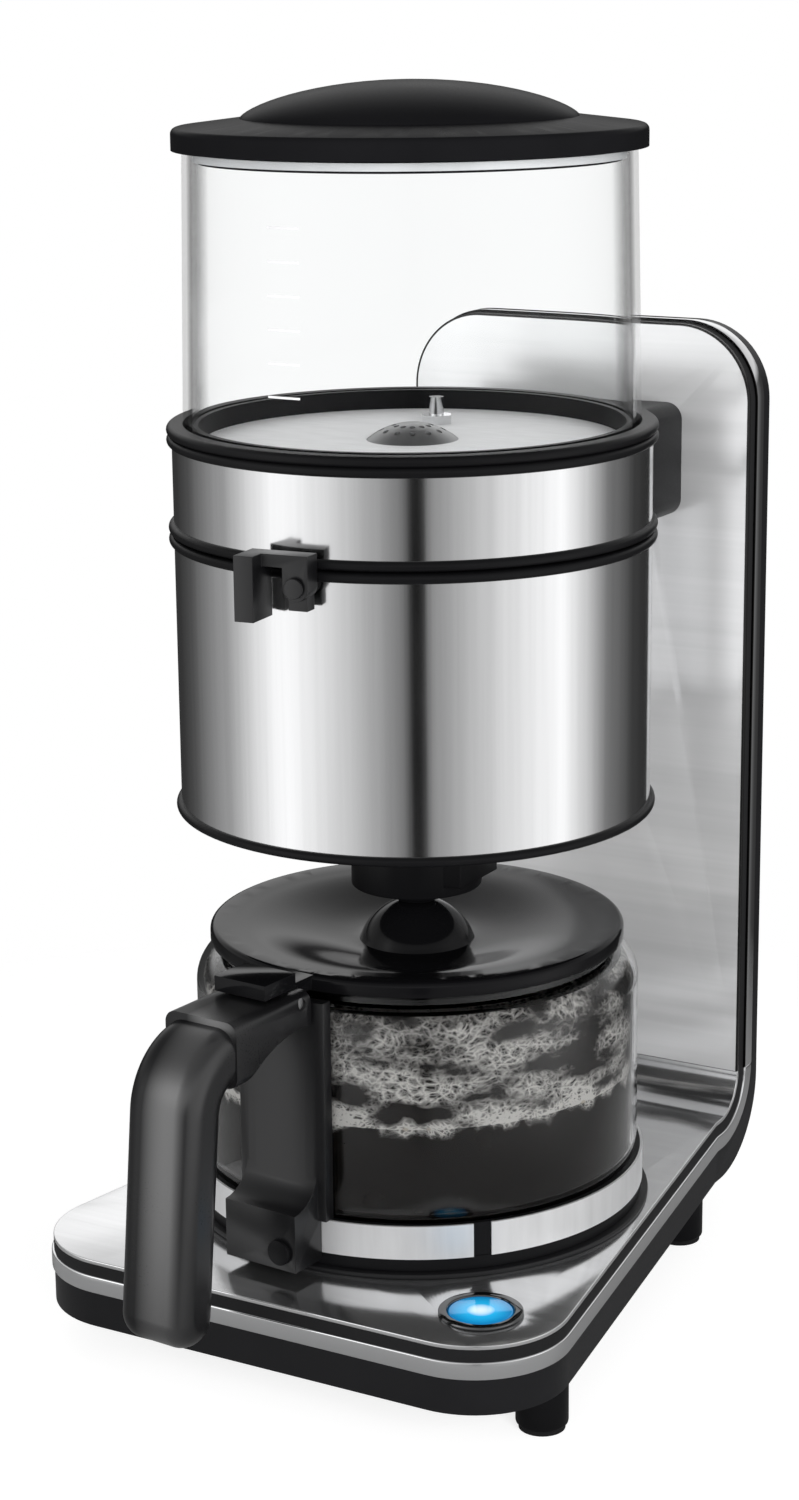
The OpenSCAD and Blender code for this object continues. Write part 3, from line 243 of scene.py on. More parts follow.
class Shader:
    """Builds a node tree: add() makes any node, wire() turns one of its outputs into a value."""

    def __init__(self, tree):
        self.tree = tree
        tree.nodes.clear()

    def add(self, kind, settings=None, **sockets):
        node = self.tree.nodes.new(kind)
        for name, value in (settings or {}).items():
            if name == "stops":
                self._stops(node.color_ramp, value)
            else:
                setattr(node, name, value)
        for name, value in sockets.items():
            self.plug(node, name.replace("_", " "), value)
        return node

    def _stops(self, ramp, stops):
        while len(ramp.elements) > 1:
            ramp.elements.remove(ramp.elements[-1])
        for i, (at, colour) in enumerate(stops):
            stop = ramp.elements[0] if i == 0 else ramp.elements.new(at)
            stop.position = at
            stop.color = colour4(colour)

    def plug(self, node, name, value):
        """Links or sets a socket, given by its name or its number."""
        socket = node.inputs[int(name)] if name.isdigit() else node.inputs[name]
        if isinstance(value, Wire):
            value = value.socket
        if isinstance(value, bpy.types.NodeSocket):
            self.tree.links.new(value, socket)
        else:
            socket.default_value = value

    def wire(self, node, output=0):
        return Wire(self.tree, node.outputs[output])

    def place(self, centre=(0, 0, 0), scale=(1, 1, 1)):
        """Object coordinates, moved so that centre is the origin, then scaled."""
        moved = self.add("ShaderNodeVectorMath", {"operation": "SUBTRACT"})
        self.plug(moved, "0", self.add("ShaderNodeTexCoord").outputs["Object"])
        self.plug(moved, "1", centre)
        scaled = self.add("ShaderNodeMapping", {"vector_type": "POINT"}, Vector=moved.outputs[0], Scale=scale)
        return scaled.outputs[0]

    def axes(self, centre=(0, 0, 0), scale=(1, 1, 1)):
        """The same coordinates as three values."""
        parts = self.add("ShaderNodeSeparateXYZ", Vector=self.place(centre, scale))
        return [self.wire(parts, i) for i in range(3)]

    def noise(self, scale, detail=3.0, stretch=(1, 1, 1)):
        node = self.add("ShaderNodeTexNoise", Vector=self.place(scale=stretch), Scale=scale, Detail=detail)
        return self.wire(node)

    def mix(self, factor, first, second):
        """A colour between two others, each a socket or three numbers."""
        node = self.add("ShaderNodeMix", {"data_type": "RGBA"})
        self.plug(node, "0", factor)
        for index, colour in (("6", first), ("7", second)):
            linked = isinstance(colour, bpy.types.NodeSocket)
            self.plug(node, index, colour if linked else colour4(colour))
        return node.outputs[2]

    def mottle(self, factor, tint, dark, light):
        """A tint that goes from a darker to a lighter shade of itself."""
        return self.mix(factor, shade(tint, dark), shade(tint, light))


class Paint(Shader):
    """A material with one Principled shader."""

    def __init__(self, name, **constants):
        self.material = bpy.data.materials.new(name)
        self.material.use_nodes = True
        super().__init__(self.material.node_tree)
        self.shader = self.add("ShaderNodeBsdfPrincipled", **constants)
        self.out = self.add("ShaderNodeOutputMaterial", Surface=self.shader.outputs[0])

    def set(self, **sockets):
        for name, value in sockets.items():
            self.plug(self.shader, name.replace("_", " "), value)
        return self

    def bump(self, height, depth):
        node = self.add("ShaderNodeBump", Height=height, Distance=depth, Strength=1.0)
        return self.set(Normal=node.outputs[0])


def sheet_steel(name, tint, grain, rough, metal=1.0, outline=None):
    """Polished sheet with faint streaks along its grain, and soft smudges; satin sheet has less metal.

    An outline is a node and its corner radius: that node's edge is drawn as a thin dark line.
    """
    paint = Paint(name, Metallic=metal)
    streaks = paint.noise(260.0, detail=4.0, stretch=grain)
    smudges = paint.noise(18.0)
    sheet = paint.mottle(streaks, tint, 0.86, 1.1)
    if outline is not None:
        sheet = paint.mix(edge_line(paint, *outline), sheet, SEAM)
    paint.set(Base_Color=sheet, Roughness=rough + streaks * 0.07 + (smudges - 0.5) * 0.05)
    return paint.bump(streaks, 0.012 * MM).material


def edge_line(paint, node, corner, width=0.9 * MM, soft=0.2 * MM):
    """One along the sides and round top corners of an upright plate, and nothing inside them."""
    low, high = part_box(node)
    half = (high.x - low.x) / 2
    across, _, above = paint.axes((low.x + half, 0, high.z - corner))
    out = (across.size() - (half - corner)).clamped()
    up = above.clamped()
    return ((out * out + up * up - (corner - width) ** 2) / (2 * corner * soft)).clamped()


def plated(name, tint, front=None):
    """Bright plating with faint smudges, and a dark lip up to a place along Y where one is given."""
    paint = Paint(name, Metallic=1.0)
    smudges = paint.noise(45.0, detail=4.0)
    bright = paint.mottle(smudges, tint, 0.93, 1.0)
    if front is not None:
        lip = ((front - paint.axes()[1]) / (0.2 * MM)).clamped()
        bright = paint.mix(lip, bright, SEAM)
    paint.set(Base_Color=bright, Roughness=0.03 + smudges * 0.09)
    return paint.bump(paint.noise(30.0), 0.02 * MM).material


def moulded(name, tint, rough, depth, gloss=0.4, painted_highlight=None):
    """Moulded plastic with a fine texture and slightly uneven gloss.

    A painted highlight is a clear coat along its middle that fades out to each side: a point there, the direction
    across and half the width.
    """
    paint = Paint(name, Specular_IOR_Level=gloss, Coat_Roughness=rough, Coat_IOR=2.2)
    grain = paint.noise(1600.0, detail=2.0)
    clouds = paint.noise(35.0, detail=4.0)
    paint.set(
        Base_Color=paint.mottle(clouds, tint, 0.8, 1.35),
        Roughness=rough + (grain - 0.5) * 0.1 + (clouds - 0.5) * 0.08,
    )
    # The painted highlight: a full clear coat on the line through the point, none at half the width to each side
    if painted_highlight is not None:
        point, across, reach = painted_highlight
        x, y, _ = paint.axes(point)
        off = x * across.x + y * across.y
        paint.set(Coat_Weight=(1.0 - off * off / reach**2).clamped())
    return paint.bump(grain, depth).material


def lacquer(name, tint):
    """Glossy black with a slightly cloudy surface."""
    paint = Paint(name, Specular_IOR_Level=0.13)
    clouds = paint.noise(25.0, detail=4.0)
    paint.set(Base_Color=paint.mottle(clouds, tint, 0.8, 1.3), Roughness=0.07 + clouds * 0.07)
    return paint.bump(clouds, 0.03 * MM).material


def clear_glass(name, tint, bend=1.3, thin=0.0):
    """Glass with a faint breath on it; thin glass lets light straight through where it is seen edge on."""
    paint = Paint(name, Transmission_Weight=1.0, IOR=bend)
    breath = paint.noise(22.0)
    paint.set(Base_Color=paint.mottle(breath, tint, 0.985, 1.0), Roughness=breath * 0.015)
    if thin > 0.0:
        facing = paint.wire(paint.add("ShaderNodeLayerWeight", Blend=0.5), "Facing")
        blend = paint.add("ShaderNodeMixShader", Fac=((facing - 0.6) * 5.0).clamped() * thin)
        paint.plug(blend, "1", paint.shader.outputs[0])
        paint.plug(blend, "2", paint.add("ShaderNodeBsdfTransparent").outputs[0])
        paint.plug(paint.out, "Surface", blend.outputs[0])
    return paint.material


def brewed(name, tint):
    """Black coffee: nearly opaque, with a wet surface."""
    paint = Paint(name, Specular_IOR_Level=0.12)
    swirl = paint.noise(40.0, detail=4.0)
    paint.set(Base_Color=paint.mottle(swirl, tint, 0.5, 1.7), Roughness=0.04 + swirl * 0.05)
    return paint.material


def frothy(name, level, height):
    """A dark film of coffee on the glass, under drifts of pale bubbles that thin out upwards."""
    paint = Paint(name, Roughness=0.4, Specular_IOR_Level=0.2)
    stir = paint.add("ShaderNodeTexNoise", Vector=paint.place(), Scale=90.0, Detail=3.0)
    where = paint.add("ShaderNodeVectorMath", {"operation": "MULTIPLY_ADD"})
    for index, value in enumerate((stir.outputs["Color"], [9 * MM] * 3, paint.place(scale=(1, 1, 1.5)))):
        paint.plug(where, str(index), value)

    def bubbles(scale, wall):
        cells = {"feature": "DISTANCE_TO_EDGE"}
        net = paint.add("ShaderNodeTexVoronoi", cells, Vector=where.outputs[0], Scale=scale)
        return 1.0 - (paint.wire(net) * wall).clamped()

    # The rise from the coffee, the film above it, drifts across the film, its foot, and lumps along the coffee's edge
    rise = (paint.axes()[2] - level) / height
    film = (rise * 150.0).clamped()
    wave = paint.noise(45.0, detail=4.0, stretch=(1, 1, 2.4))
    lumps = paint.noise(150.0, detail=2.0, stretch=(1, 1, 0.4))
    drifts = ((wave - 0.4 - rise * 0.03) * 5.0).clamped() * film
    foot = (1.0 - rise * 9.0 + (wave - 0.42) * 5.0).clamped() * film
    rim = (0.7 - rise.size() * 11.0 + (lumps - 0.5) * 5.0).clamped()
    fine = bubbles(560.0, 3.2)
    foam = bubbles(260.0, 4.0) * 0.8 + fine * 0.55
    edge = foot * (0.16 + fine * 0.6) + rim * (0.45 + fine * 0.5)
    pale = (foam * drifts * (1.0 - rise * 0.3) + edge).clamped()
    paint.set(
        Base_Color=paint.mix(pale, (0.012, 0.009, 0.008), (0.8, 0.78, 0.75)),
        Alpha=(film * (0.93 - rise * 0.4) + pale * 1.2).clamped(),
    )
    return paint.bump(pale, 0.3 * MM).material


def lit_lens(name, tint, centre, radius):
    """The button's lens: white in the middle, blue to its edge."""
    paint = Paint(name, Roughness=0.12, Coat_Weight=0.5, Emission_Strength=1.0)
    across, along, _ = paint.axes(centre, [1 / radius] * 3)
    away = across * across + along * along
    blue = paint.mix((away * 1.05).clamped(), (0.02, 0.5, 0.88), shade(tint, 0.6))
    hot = paint.mix((away * 5.0).clamped(), (0.85, 0.96, 1.0), blue)
    paint.set(Base_Color=colour4(shade(tint, 0.4)), Emission_Color=hot)
    return paint.material


# Meshes


def add_object(name, mesh, paint, body, slot, *nodes):
    """A finished piece on a body, in place of the nodes that it stands for."""
    piece = bpy.data.objects.new(name, mesh)
    bpy.context.scene.collection.objects.link(piece)
    mesh.materials.clear()
    mesh.materials.append(paint)
    if nodes:
        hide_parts(*nodes)
    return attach(piece, body)


def evaluated(piece):
    """The mesh of an object with its modifiers applied."""
    graph = bpy.context.evaluated_depsgraph_get()
    graph.update()
    return bpy.data.meshes.new_from_object(piece.evaluated_get(graph))


def merged(node):
    """A node's solid as one closed mesh with its flat faces whole."""
    work = bmesh.new()
    work.from_mesh(frame["nodes"][node].data)
    bmesh.ops.remove_doubles(work, verts=work.verts, dist=0.002 * MM)
    bmesh.ops.dissolve_limit(work, angle_limit=math.radians(0.2), verts=work.verts, edges=work.edges)
    work.verts.ensure_lookup_table()
    mesh = bpy.data.meshes.new(node + "_merged")
    mesh.from_pydata([v.co[:] for v in work.verts], [], [[v.index for v in f.verts] for f in work.faces])
    work.free()
    return mesh


def soften(mesh, angle=32.0):
    mesh.shade_smooth()
    mesh.set_sharp_from_angle(angle=math.radians(angle))
    return mesh


def finish(node, paint, edge=0.0):
    """A node's own shape with rounded edges and its finish, in place of the bare solid."""
    mesh = merged(node)
    if edge > 0:
        blank = bpy.data.objects.new(node + "_blank", mesh)
        bpy.context.scene.collection.objects.link(blank)
        bevel = blank.modifiers.new("Edge", "BEVEL")
        bevel.width = edge
        bevel.segments = 3
        bevel.limit_method = "ANGLE"
        bevel.angle_limit = math.radians(40)
        bevel.use_clamp_overlap = True
        mesh = evaluated(blank)
        bpy.data.objects.remove(blank)
    return add_object(node + "_finish", soften(mesh), paint, BODY_OF[node], SLOT_OF[node], node)


def is_back_edge(edge):
    """Whether an edge goes round between a shell's back or underside and a wall."""
    if len(edge.link_faces) != 2 or not edge.is_convex:
        return False
    for skin, wall in (edge.link_faces, reversed(edge.link_faces)):
        n = skin.normal
        turned_away = abs(n.x) < LEVEL and n.y > -LEVEL and n.z < LEVEL
        broad = skin.calc_area() > SLIVER or abs(n.z) > LEVEL
        if turned_away and broad and abs(n.dot(wall.normal)) < SQUARE:
            return True
    return False


def finish_shell(node, paint, radius):
    """A black shell of the stand, well rounded behind; the column's shell keeps the edges of its foot."""
    work = bmesh.new()
    work.from_mesh(merged(node))
    work.normal_update()
    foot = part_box(node)[0].z + 0.1 * MM if node == "column_back" else -math.inf
    chosen = [edge for edge in work.edges if is_back_edge(edge) and max(v.co.z for v in edge.verts) >= foot]
    bmesh.ops.bevel(work, geom=chosen, offset=radius, segments=5, profile=0.5, affect="EDGES", clamp_overlap=True)
    mesh = bpy.data.meshes.new(node + "_finish")
    work.to_mesh(mesh)
    work.free()
    return add_object(node + "_finish", soften(mesh), paint, BODY_OF[node], SLOT_OF[node], node)


def finish_all(nodes, paint, edge=0.0):
    for node in nodes.split():
        finish(node, paint, edge)


def plain(nodes, paint):
    """Gives nodes that stay as they are their finish."""
    for node in nodes.split():
        data = frame["nodes"][node].data
        data.materials.clear()
        data.materials.append(paint)


def spun(name, profile, steps=128):
    """A closed shape turned about the drum's axis, from points of radius and height."""
    work = bmesh.new()
    rings = []
    for radius, height in profile:
        if radius < 1e-7:
            rings.append([work.verts.new((AXIS.x, AXIS.y, height))] * steps)
            continue
        ring = []
        for i in range(steps):
            turn = 2 * math.pi * i / steps
            ring.append(work.verts.new((AXIS.x + radius * math.cos(turn), AXIS.y + radius * math.sin(turn), height)))
        rings.append(ring)
    for low, high in zip(rings, rings[1:]):
        for i in range(steps):
            j = (i + 1) % steps
            corners = list(dict.fromkeys((low[i], low[j], high[j], high[i])))
            if len(corners) > 2:
                work.faces.new(corners)
    bmesh.ops.recalc_face_normals(work, faces=work.faces)
    mesh = bpy.data.meshes.new(name)
    work.to_mesh(mesh)
    work.free()
    return soften(mesh, angle=40.0)


def arc(centre, radius, start, end, steps):
    """Points of an arc of a profile, angles in degrees."""
    turns = [math.radians(start + (end - start) * i / steps) for i in range(steps + 1)]
    return [(centre[0] + radius * math.cos(t), centre[1] + radius * math.sin(t)) for t in turns]


def glass_profile(depth):
    """The carafe's glass from the middle of its foot to its mouth, at a depth under the outer face."""
    low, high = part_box("carafe_glass")
    radius = (high.x - low.x) / 2
    turn = math.radians(GLASS_TURN)
    shoulder_z = high.z - GLASS_NECK - GLASS_SHOULDER * math.sin(turn)
    neck_r = radius - GLASS_SHOULDER * (1 - math.cos(turn))
    foot = arc((radius - GLASS_FOOT, low.z + GLASS_FOOT), GLASS_FOOT - depth, -90, 0, 16)
    shoulder = arc((radius - GLASS_SHOULDER, shoulder_z), GLASS_SHOULDER - depth, 0, GLASS_TURN, 12)
    return [(0.0, low.z + depth), *foot, *shoulder, (neck_r - depth, high.z)]


# Geometry Nodes


def node_tree(name, sizes):
    """A tree with a geometry input, named sizes and a geometry output."""
    tree = bpy.data.node_groups.new(name, "GeometryNodeTree")
    tree.interface.new_socket("Geometry", in_out="INPUT", socket_type="NodeSocketGeometry")
    for label, kind in sizes.items():
        tree.interface.new_socket(label, in_out="INPUT", socket_type=kind)
    tree.interface.new_socket("Geometry", in_out="OUTPUT", socket_type="NodeSocketGeometry")
    start = tree.nodes.new("NodeGroupInput")
    end = tree.nodes.new("NodeGroupOutput")
    return tree, start, end


def grow(tree, mesh, values):
    """Runs a tree on a mesh with its inputs set by identifier, and returns the plain result."""
    blank = bpy.data.objects.new(tree.name + "_blank", mesh)
    bpy.context.scene.collection.objects.link(blank)
    modifier = blank.modifiers.new(tree.name, "NODES")
    modifier.node_group = tree
    for item in tree.interface.items_tree:
        if item.in_out == "INPUT" and item.name in values:
            modifier[item.identifier] = values[item.name]
    result = evaluated(blank)
    bpy.data.objects.remove(blank)
    return result


def scatter_tree(name, paint):
    """Flattened drops over a surface: their number, least and largest size are inputs."""
    tree, start, end = node_tree(
        name, {"Density": "NodeSocketFloat", "Least": "NodeSocketFloat", "Largest": "NodeSocketFloat"}
    )
    link = tree.links.new
    points = tree.nodes.new("GeometryNodeDistributePointsOnFaces")
    points.distribute_method = "RANDOM"
    points.inputs["Seed"].default_value = 7
    ball = tree.nodes.new("GeometryNodeMeshIcoSphere")
    ball.inputs["Radius"].default_value = 1.0
    ball.inputs["Subdivisions"].default_value = 2
    flat = tree.nodes.new("GeometryNodeTransform")
    flat.inputs["Scale"].default_value = (1.0, 1.0, 0.55)
    sizes = tree.nodes.new("FunctionNodeRandomValue")
    sizes.inputs["Seed"].default_value = 3
    spread = tree.nodes.new("GeometryNodeInstanceOnPoints")
    real = tree.nodes.new("GeometryNodeRealizeInstances")
    smooth = tree.nodes.new("GeometryNodeSetShadeSmooth")
    wet = tree.nodes.new("GeometryNodeSetMaterial")
    wet.inputs["Material"].default_value = paint
    link(start.outputs["Geometry"], points.inputs["Mesh"])
    link(start.outputs["Density"], points.inputs["Density"])
    link(start.outputs["Least"], sizes.inputs[2])
    link(start.outputs["Largest"], sizes.inputs[3])
    link(ball.outputs["Mesh"], flat.inputs["Geometry"])
    link(points.outputs["Points"], spread.inputs["Points"])
    link(points.outputs["Rotation"], spread.inputs["Rotation"])
    link(flat.outputs["Geometry"], spread.inputs["Instance"])
    link(sizes.outputs[1], spread.inputs["Scale"])
    link(spread.outputs["Instances"], real.inputs["Geometry"])
    link(real.outputs["Geometry"], smooth.inputs["Geometry"])
    link(smooth.outputs["Geometry"], wet.inputs["Geometry"])
    link(wet.outputs["Geometry"], end.inputs["Geometry"])
    return tree


def row_tree(name, paint):
    """Copies of a mark in a row: their number and the step between them are inputs."""
    tree, start, end = node_tree(name, {"Count": "NodeSocketInt", "Step": "NodeSocketVector"})
    link = tree.links.new
    line = tree.nodes.new("GeometryNodeMeshLine")
    line.mode = "OFFSET"
    spread = tree.nodes.new("GeometryNodeInstanceOnPoints")
    real = tree.nodes.new("GeometryNodeRealizeInstances")
    ink = tree.nodes.new("GeometryNodeSetMaterial")
    ink.inputs["Material"].default_value = paint
    link(start.outputs["Count"], line.inputs["Count"])
    link(start.outputs["Step"], line.inputs["Offset"])
    link(line.outputs["Mesh"], spread.inputs["Points"])
    link(start.outputs["Geometry"], spread.inputs["Instance"])
    link(spread.outputs["Instances"], real.inputs["Geometry"])
    link(real.outputs["Geometry"], ink.inputs["Geometry"])
    link(ink.outputs["Geometry"], end.inputs["Geometry"])
    return tree


# The finishes, made once


def finishes():
    """Every finish by its plain name."""
    if not hasattr(finishes, "made"):
        tints = bpy.context.scene.brewer_finishes
        steel, chrome, black = tints.steel, tints.chrome, tints.black
        outline = ("column_plate", COLUMN_CORNER)
        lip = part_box("column_band")[0].y + 0.5 * MM
        finishes.made = {
            "drum steel": sheet_steel("drum_steel", steel, grain=(1, 1, 0.015), rough=0.09),
            "plate steel": sheet_steel("plate_steel", shade(steel, 1.08), grain=(0.02, 1, 1), rough=0.11, metal=0.97),
            "column steel": sheet_steel(
                "column_steel", shade(steel, 1.12), grain=(0.02, 1, 1), rough=0.18, metal=0.5, outline=outline
            ),
            "floor steel": sheet_steel("floor_steel", shade(steel, 1.16), grain=(0.3, 1, 1), rough=0.42, metal=0.05),
            "band steel": sheet_steel("band_steel", shade(steel, 1.15), grain=(1, 1, 0.1), rough=0.42, metal=0.75),
            "chrome": plated("bright_plating", chrome),
            "dark chrome": plated("dark_plating", shade(chrome, 0.2)),
            "column chrome": plated("column_plating", chrome, front=lip),
            "dull steel": sheet_steel("turned_steel", shade(steel, 0.8), grain=(1, 1, 0.2), rough=0.32),
            "strainer steel": sheet_steel("strainer_steel", shade(steel, 0.4), grain=(1, 1, 1), rough=0.3, metal=0.8),
            "brass": plated("plain_brass", (0.66, 0.5, 0.24)),
            "satin black": moulded("satin_black", black, rough=0.38, depth=0.006 * MM, gloss=0.12),
            "latch black": moulded("latch_black", black, rough=0.32, depth=0.006 * MM, gloss=0.5),
            "lid black": moulded("lid_black", shade(black, 1.8), rough=0.3, depth=0.006 * MM, gloss=0.008),
            "shell black": moulded("shell_black", shade(black, 1.8), rough=0.4, depth=0.01 * MM, gloss=0.2),
            "silicone": moulded("pale_silicone", (0.5, 0.51, 0.52), rough=0.4, depth=0.004 * MM),
            "gloss black": lacquer("gloss_black", tints.gloss),
            "coated black": moulded("coated_black", shade(black, 1.5), rough=0.42, depth=0.01 * MM),
            "rubber": moulded("black_rubber", shade(black, 1.3), rough=0.7, depth=0.02 * MM),
            "board": moulded("board_green", (0.05, 0.2, 0.11), rough=0.5, depth=0.01 * MM),
            "glass": clear_glass("clear_glass", (0.985, 0.99, 0.99), bend=1.12, thin=0.8),
            "carafe glass": clear_glass("carafe_glass", (0.975, 0.98, 0.98), bend=1.36),
        }
    return finishes.made


# Operators


class BREWER_OT_stand(bpy.types.Operator):
    """Finishes the stand: plates, bands, gaskets, shells and feet"""

    bl_idname = "brewer.stand"
    bl_label = "Stand"

    def execute(self, context):
        paint = finishes()
        edge = context.scene.brewer_sizes.edge
        finish("base_plate", paint["plate steel"], 0.3 * MM)
        finish("column_plate", paint["column steel"], 0.3 * MM)
        finish("base_band", paint["chrome"], 0.5 * MM)
        finish("column_band", paint["column chrome"], 0.2 * MM)
        finish_all("base_gasket column_gasket foot_pads", paint["rubber"])
        finish_all("feet bracket_block", paint["satin black"], 1.6 * edge)
        for shell in ("base_tray", "column_back"):
            finish_shell(shell, paint["shell black"], context.scene.brewer_sizes.shell_round)
        finish("warming_plate", paint["coated black"], 0.5 * MM)
        plain("screws", paint["chrome"])
        plain("wire_harness cord_inlet", paint["rubber"])
        plain("warming_heater", paint["dull steel"])
        plain("plate_thermostat", paint["brass"])
        plain("control_board terminal_block", paint["board"])
        return {"FINISHED"}


class BREWER_OT_button(bpy.types.Operator):
    """Finishes the lit button"""

    bl_idname = "brewer.button"
    bl_label = "Button"

    def execute(self, context):
        paint = finishes()
        low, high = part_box("button_lens")
        glow = lit_lens("lit_lens", context.scene.brewer_finishes.glow, tuple(BUTTON), (high.x - low.x) / 2)
        finish("button_lens", glow, 0.4 * MM)
        finish("button_bezel", paint["dark chrome"], 0.5 * MM)
        plain("button_spring", paint["chrome"])
        plain("button_switch", paint["satin black"])
        return {"FINISHED"}


class BREWER_OT_head(bpy.types.Operator):
    """Finishes the heating head, the tank and its lid"""

    bl_idname = "brewer.head"
    bl_label = "Head and tank"

    def execute(self, context):
        paint = finishes()
        finish("heater_shell", paint["drum steel"])
        finish("tank_floor", paint["floor steel"])
        finish_all("head_rim top_ring shower_plate hinge_bracket", paint["satin black"])
        finish("tank_lid", paint["lid black"])
        self.tank_glass(paint["glass"])
        finish("valve_strainer", paint["strainer steel"])
        finish("level_probe", paint["chrome"])
        plain("tank_seal", paint["rubber"])
        plain("lid_seal", paint["silicone"])
        plain("tank_heater valve_poppet hinge_pin", paint["dull steel"])
        plain("tank_thermostat valve_body", paint["brass"])
        plain("valve_spring", paint["chrome"])
        self.level_marks(context.scene.brewer_sizes.marks)
        return {"FINISHED"}

    def tank_glass(self, paint):
        """The tank: straight in its ring, narrowing above it."""
        low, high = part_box("water_tank")
        ring_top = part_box("top_ring")[1].z
        foot_r = (high.x - low.x) / 2
        points = [v.co for v in frame["nodes"]["water_tank"].data.vertices]
        rim = [math.hypot(p.x - AXIS.x, p.y - AXIS.y) for p in points if p.z > high.z - 0.01 * MM]
        top_r, wall = max(rim), max(rim) - min(rim)
        outside = [(foot_r - wall, low.z), (foot_r, low.z), (foot_r, ring_top), (top_r, high.z)]
        inside = [(top_r - wall, high.z), (foot_r - wall, ring_top), (foot_r - wall, low.z)]
        mesh = spun("water_tank_finish", outside + inside, steps=256)
        tank = add_object("water_tank_finish", mesh, paint, BODY_OF["water_tank"], SLOT_OF["water_tank"], "water_tank")
        tank.visible_shadow = False

    def level_marks(self, count):
        """Short printed marks up the front of the glass."""
        if count == 0:
            return
        low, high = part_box("water_tank")
        lid_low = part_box("tank_lid")[0].z
        ring_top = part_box("top_ring")[1].z
        foot_r = (high.x - low.x) / 2
        taper = TANK_TAPER / (high.z - ring_top)
        first = ring_top + MARK_MARGIN
        step = (lid_low - MARK_MARGIN - first) / max(count - 1, 1)
        radius = foot_r - taper * (first - ring_top) + 0.06 * MM
        mark = bpy.data.meshes.new("level_mark")
        half, thick, span, aside, cuts = 0.35 * MM, 0.08 * MM, 9.0, 2.0, 8
        verts, faces = [], []
        for i in range(cuts + 1):
            turn = math.radians(-span / 2 + span * i / cuts - aside)
            for r, z in ((radius, -half), (radius, half), (radius + thick, half), (radius + thick, -half)):
                verts.append((AXIS.x + r * math.sin(turn), AXIS.y - r * math.cos(turn), first + z))
        for i in range(cuts):
            for j in range(4):
                k = (j + 1) % 4
                faces.append((4 * i + j, 4 * i + k, 4 * i + 4 + k, 4 * i + 4 + j))
        faces += [(3, 2, 1, 0), tuple(4 * cuts + j for j in range(4))]
        mark.from_pydata(verts, [], faces)
        work = bmesh.new()
        work.from_mesh(mark)
        bmesh.ops.recalc_face_normals(work, faces=work.faces)
        work.to_mesh(mark)
        work.free()
        ink = moulded("mark_ink", (0.72, 0.72, 0.73), rough=0.6, depth=0.005 * MM)
        lean = (0.0, taper * step, step)
        marks = grow(row_tree("mark_row", ink), mark, {"Count": count, "Step": lean})
        add_object("level_marks", marks, ink, BODY_OF["water_tank"], SLOT_OF["water_tank"])


class BREWER_OT_filter(bpy.types.Operator):
    """Finishes the filter drum, its hinge, latch and drip stop"""

    bl_idname = "brewer.filter"
    bl_label = "Filter drum"

    def execute(self, context):
        paint = finishes()
        edge = context.scene.brewer_sizes.edge
        finish("filter_drum", paint["drum steel"])
        finish_all("filter_rim_top filter_rim_bottom drum_hinge filter_carrier filter_basket", paint["satin black"])
        finish("drip_housing", paint["satin black"], edge)
        finish("latch_lever", paint["latch black"], edge)
        finish("drip_valve", paint["satin black"])
        finish("latch_pin", paint["latch black"], 0.3 * MM)
        plain("drip_spring", paint["chrome"])
        return {"FINISHED"}


class BREWER_OT_carafe(bpy.types.Operator):
    """Finishes the carafe, its band, handle and lid"""

    bl_idname = "brewer.carafe"
    bl_label = "Carafe"

    def execute(self, context):
        paint = finishes()
        edge = context.scene.brewer_sizes.edge
        outside, inside = glass_profile(0.0), glass_profile(GLASS_WALL)
        mesh = spun("carafe_glass_finish", outside + inside[::-1], steps=256)
        glass = paint["carafe glass"]
        add_object("carafe_glass_finish", mesh, glass, "carafe", SLOT_OF["carafe_glass"], "carafe_glass")
        finish("carafe_band", paint["band steel"])
        finish("carafe_base", paint["satin black"])
        outward = middle("carafe_handle") - AXIS
        across = Vector((-outward.y, outward.x, 0.0)).normalized()
        tint = context.scene.brewer_finishes.black
        # A painted highlight along the grip's middle: a band of clear coat on a line through the drum's axis, moved 4
        # mm across
        painted_highlight = (tuple(AXIS + across * 4 * MM), across, context.scene.brewer_sizes.grip_shine)
        grip = moulded("grip_black", tint, rough=0.3, depth=0.006 * MM, gloss=0.3, painted_highlight=painted_highlight)
        finish("carafe_handle", grip, 1.4 * edge)
        finish("handle_plate", paint["latch black"], 1.4 * edge)
        finish("handle_screw", paint["satin black"], 0.3 * MM)
        finish("carafe_lid", paint["gloss black"], 0.4 * MM)
        plain("carafe_lid_pin", paint["dull steel"])
        return {"FINISHED"}


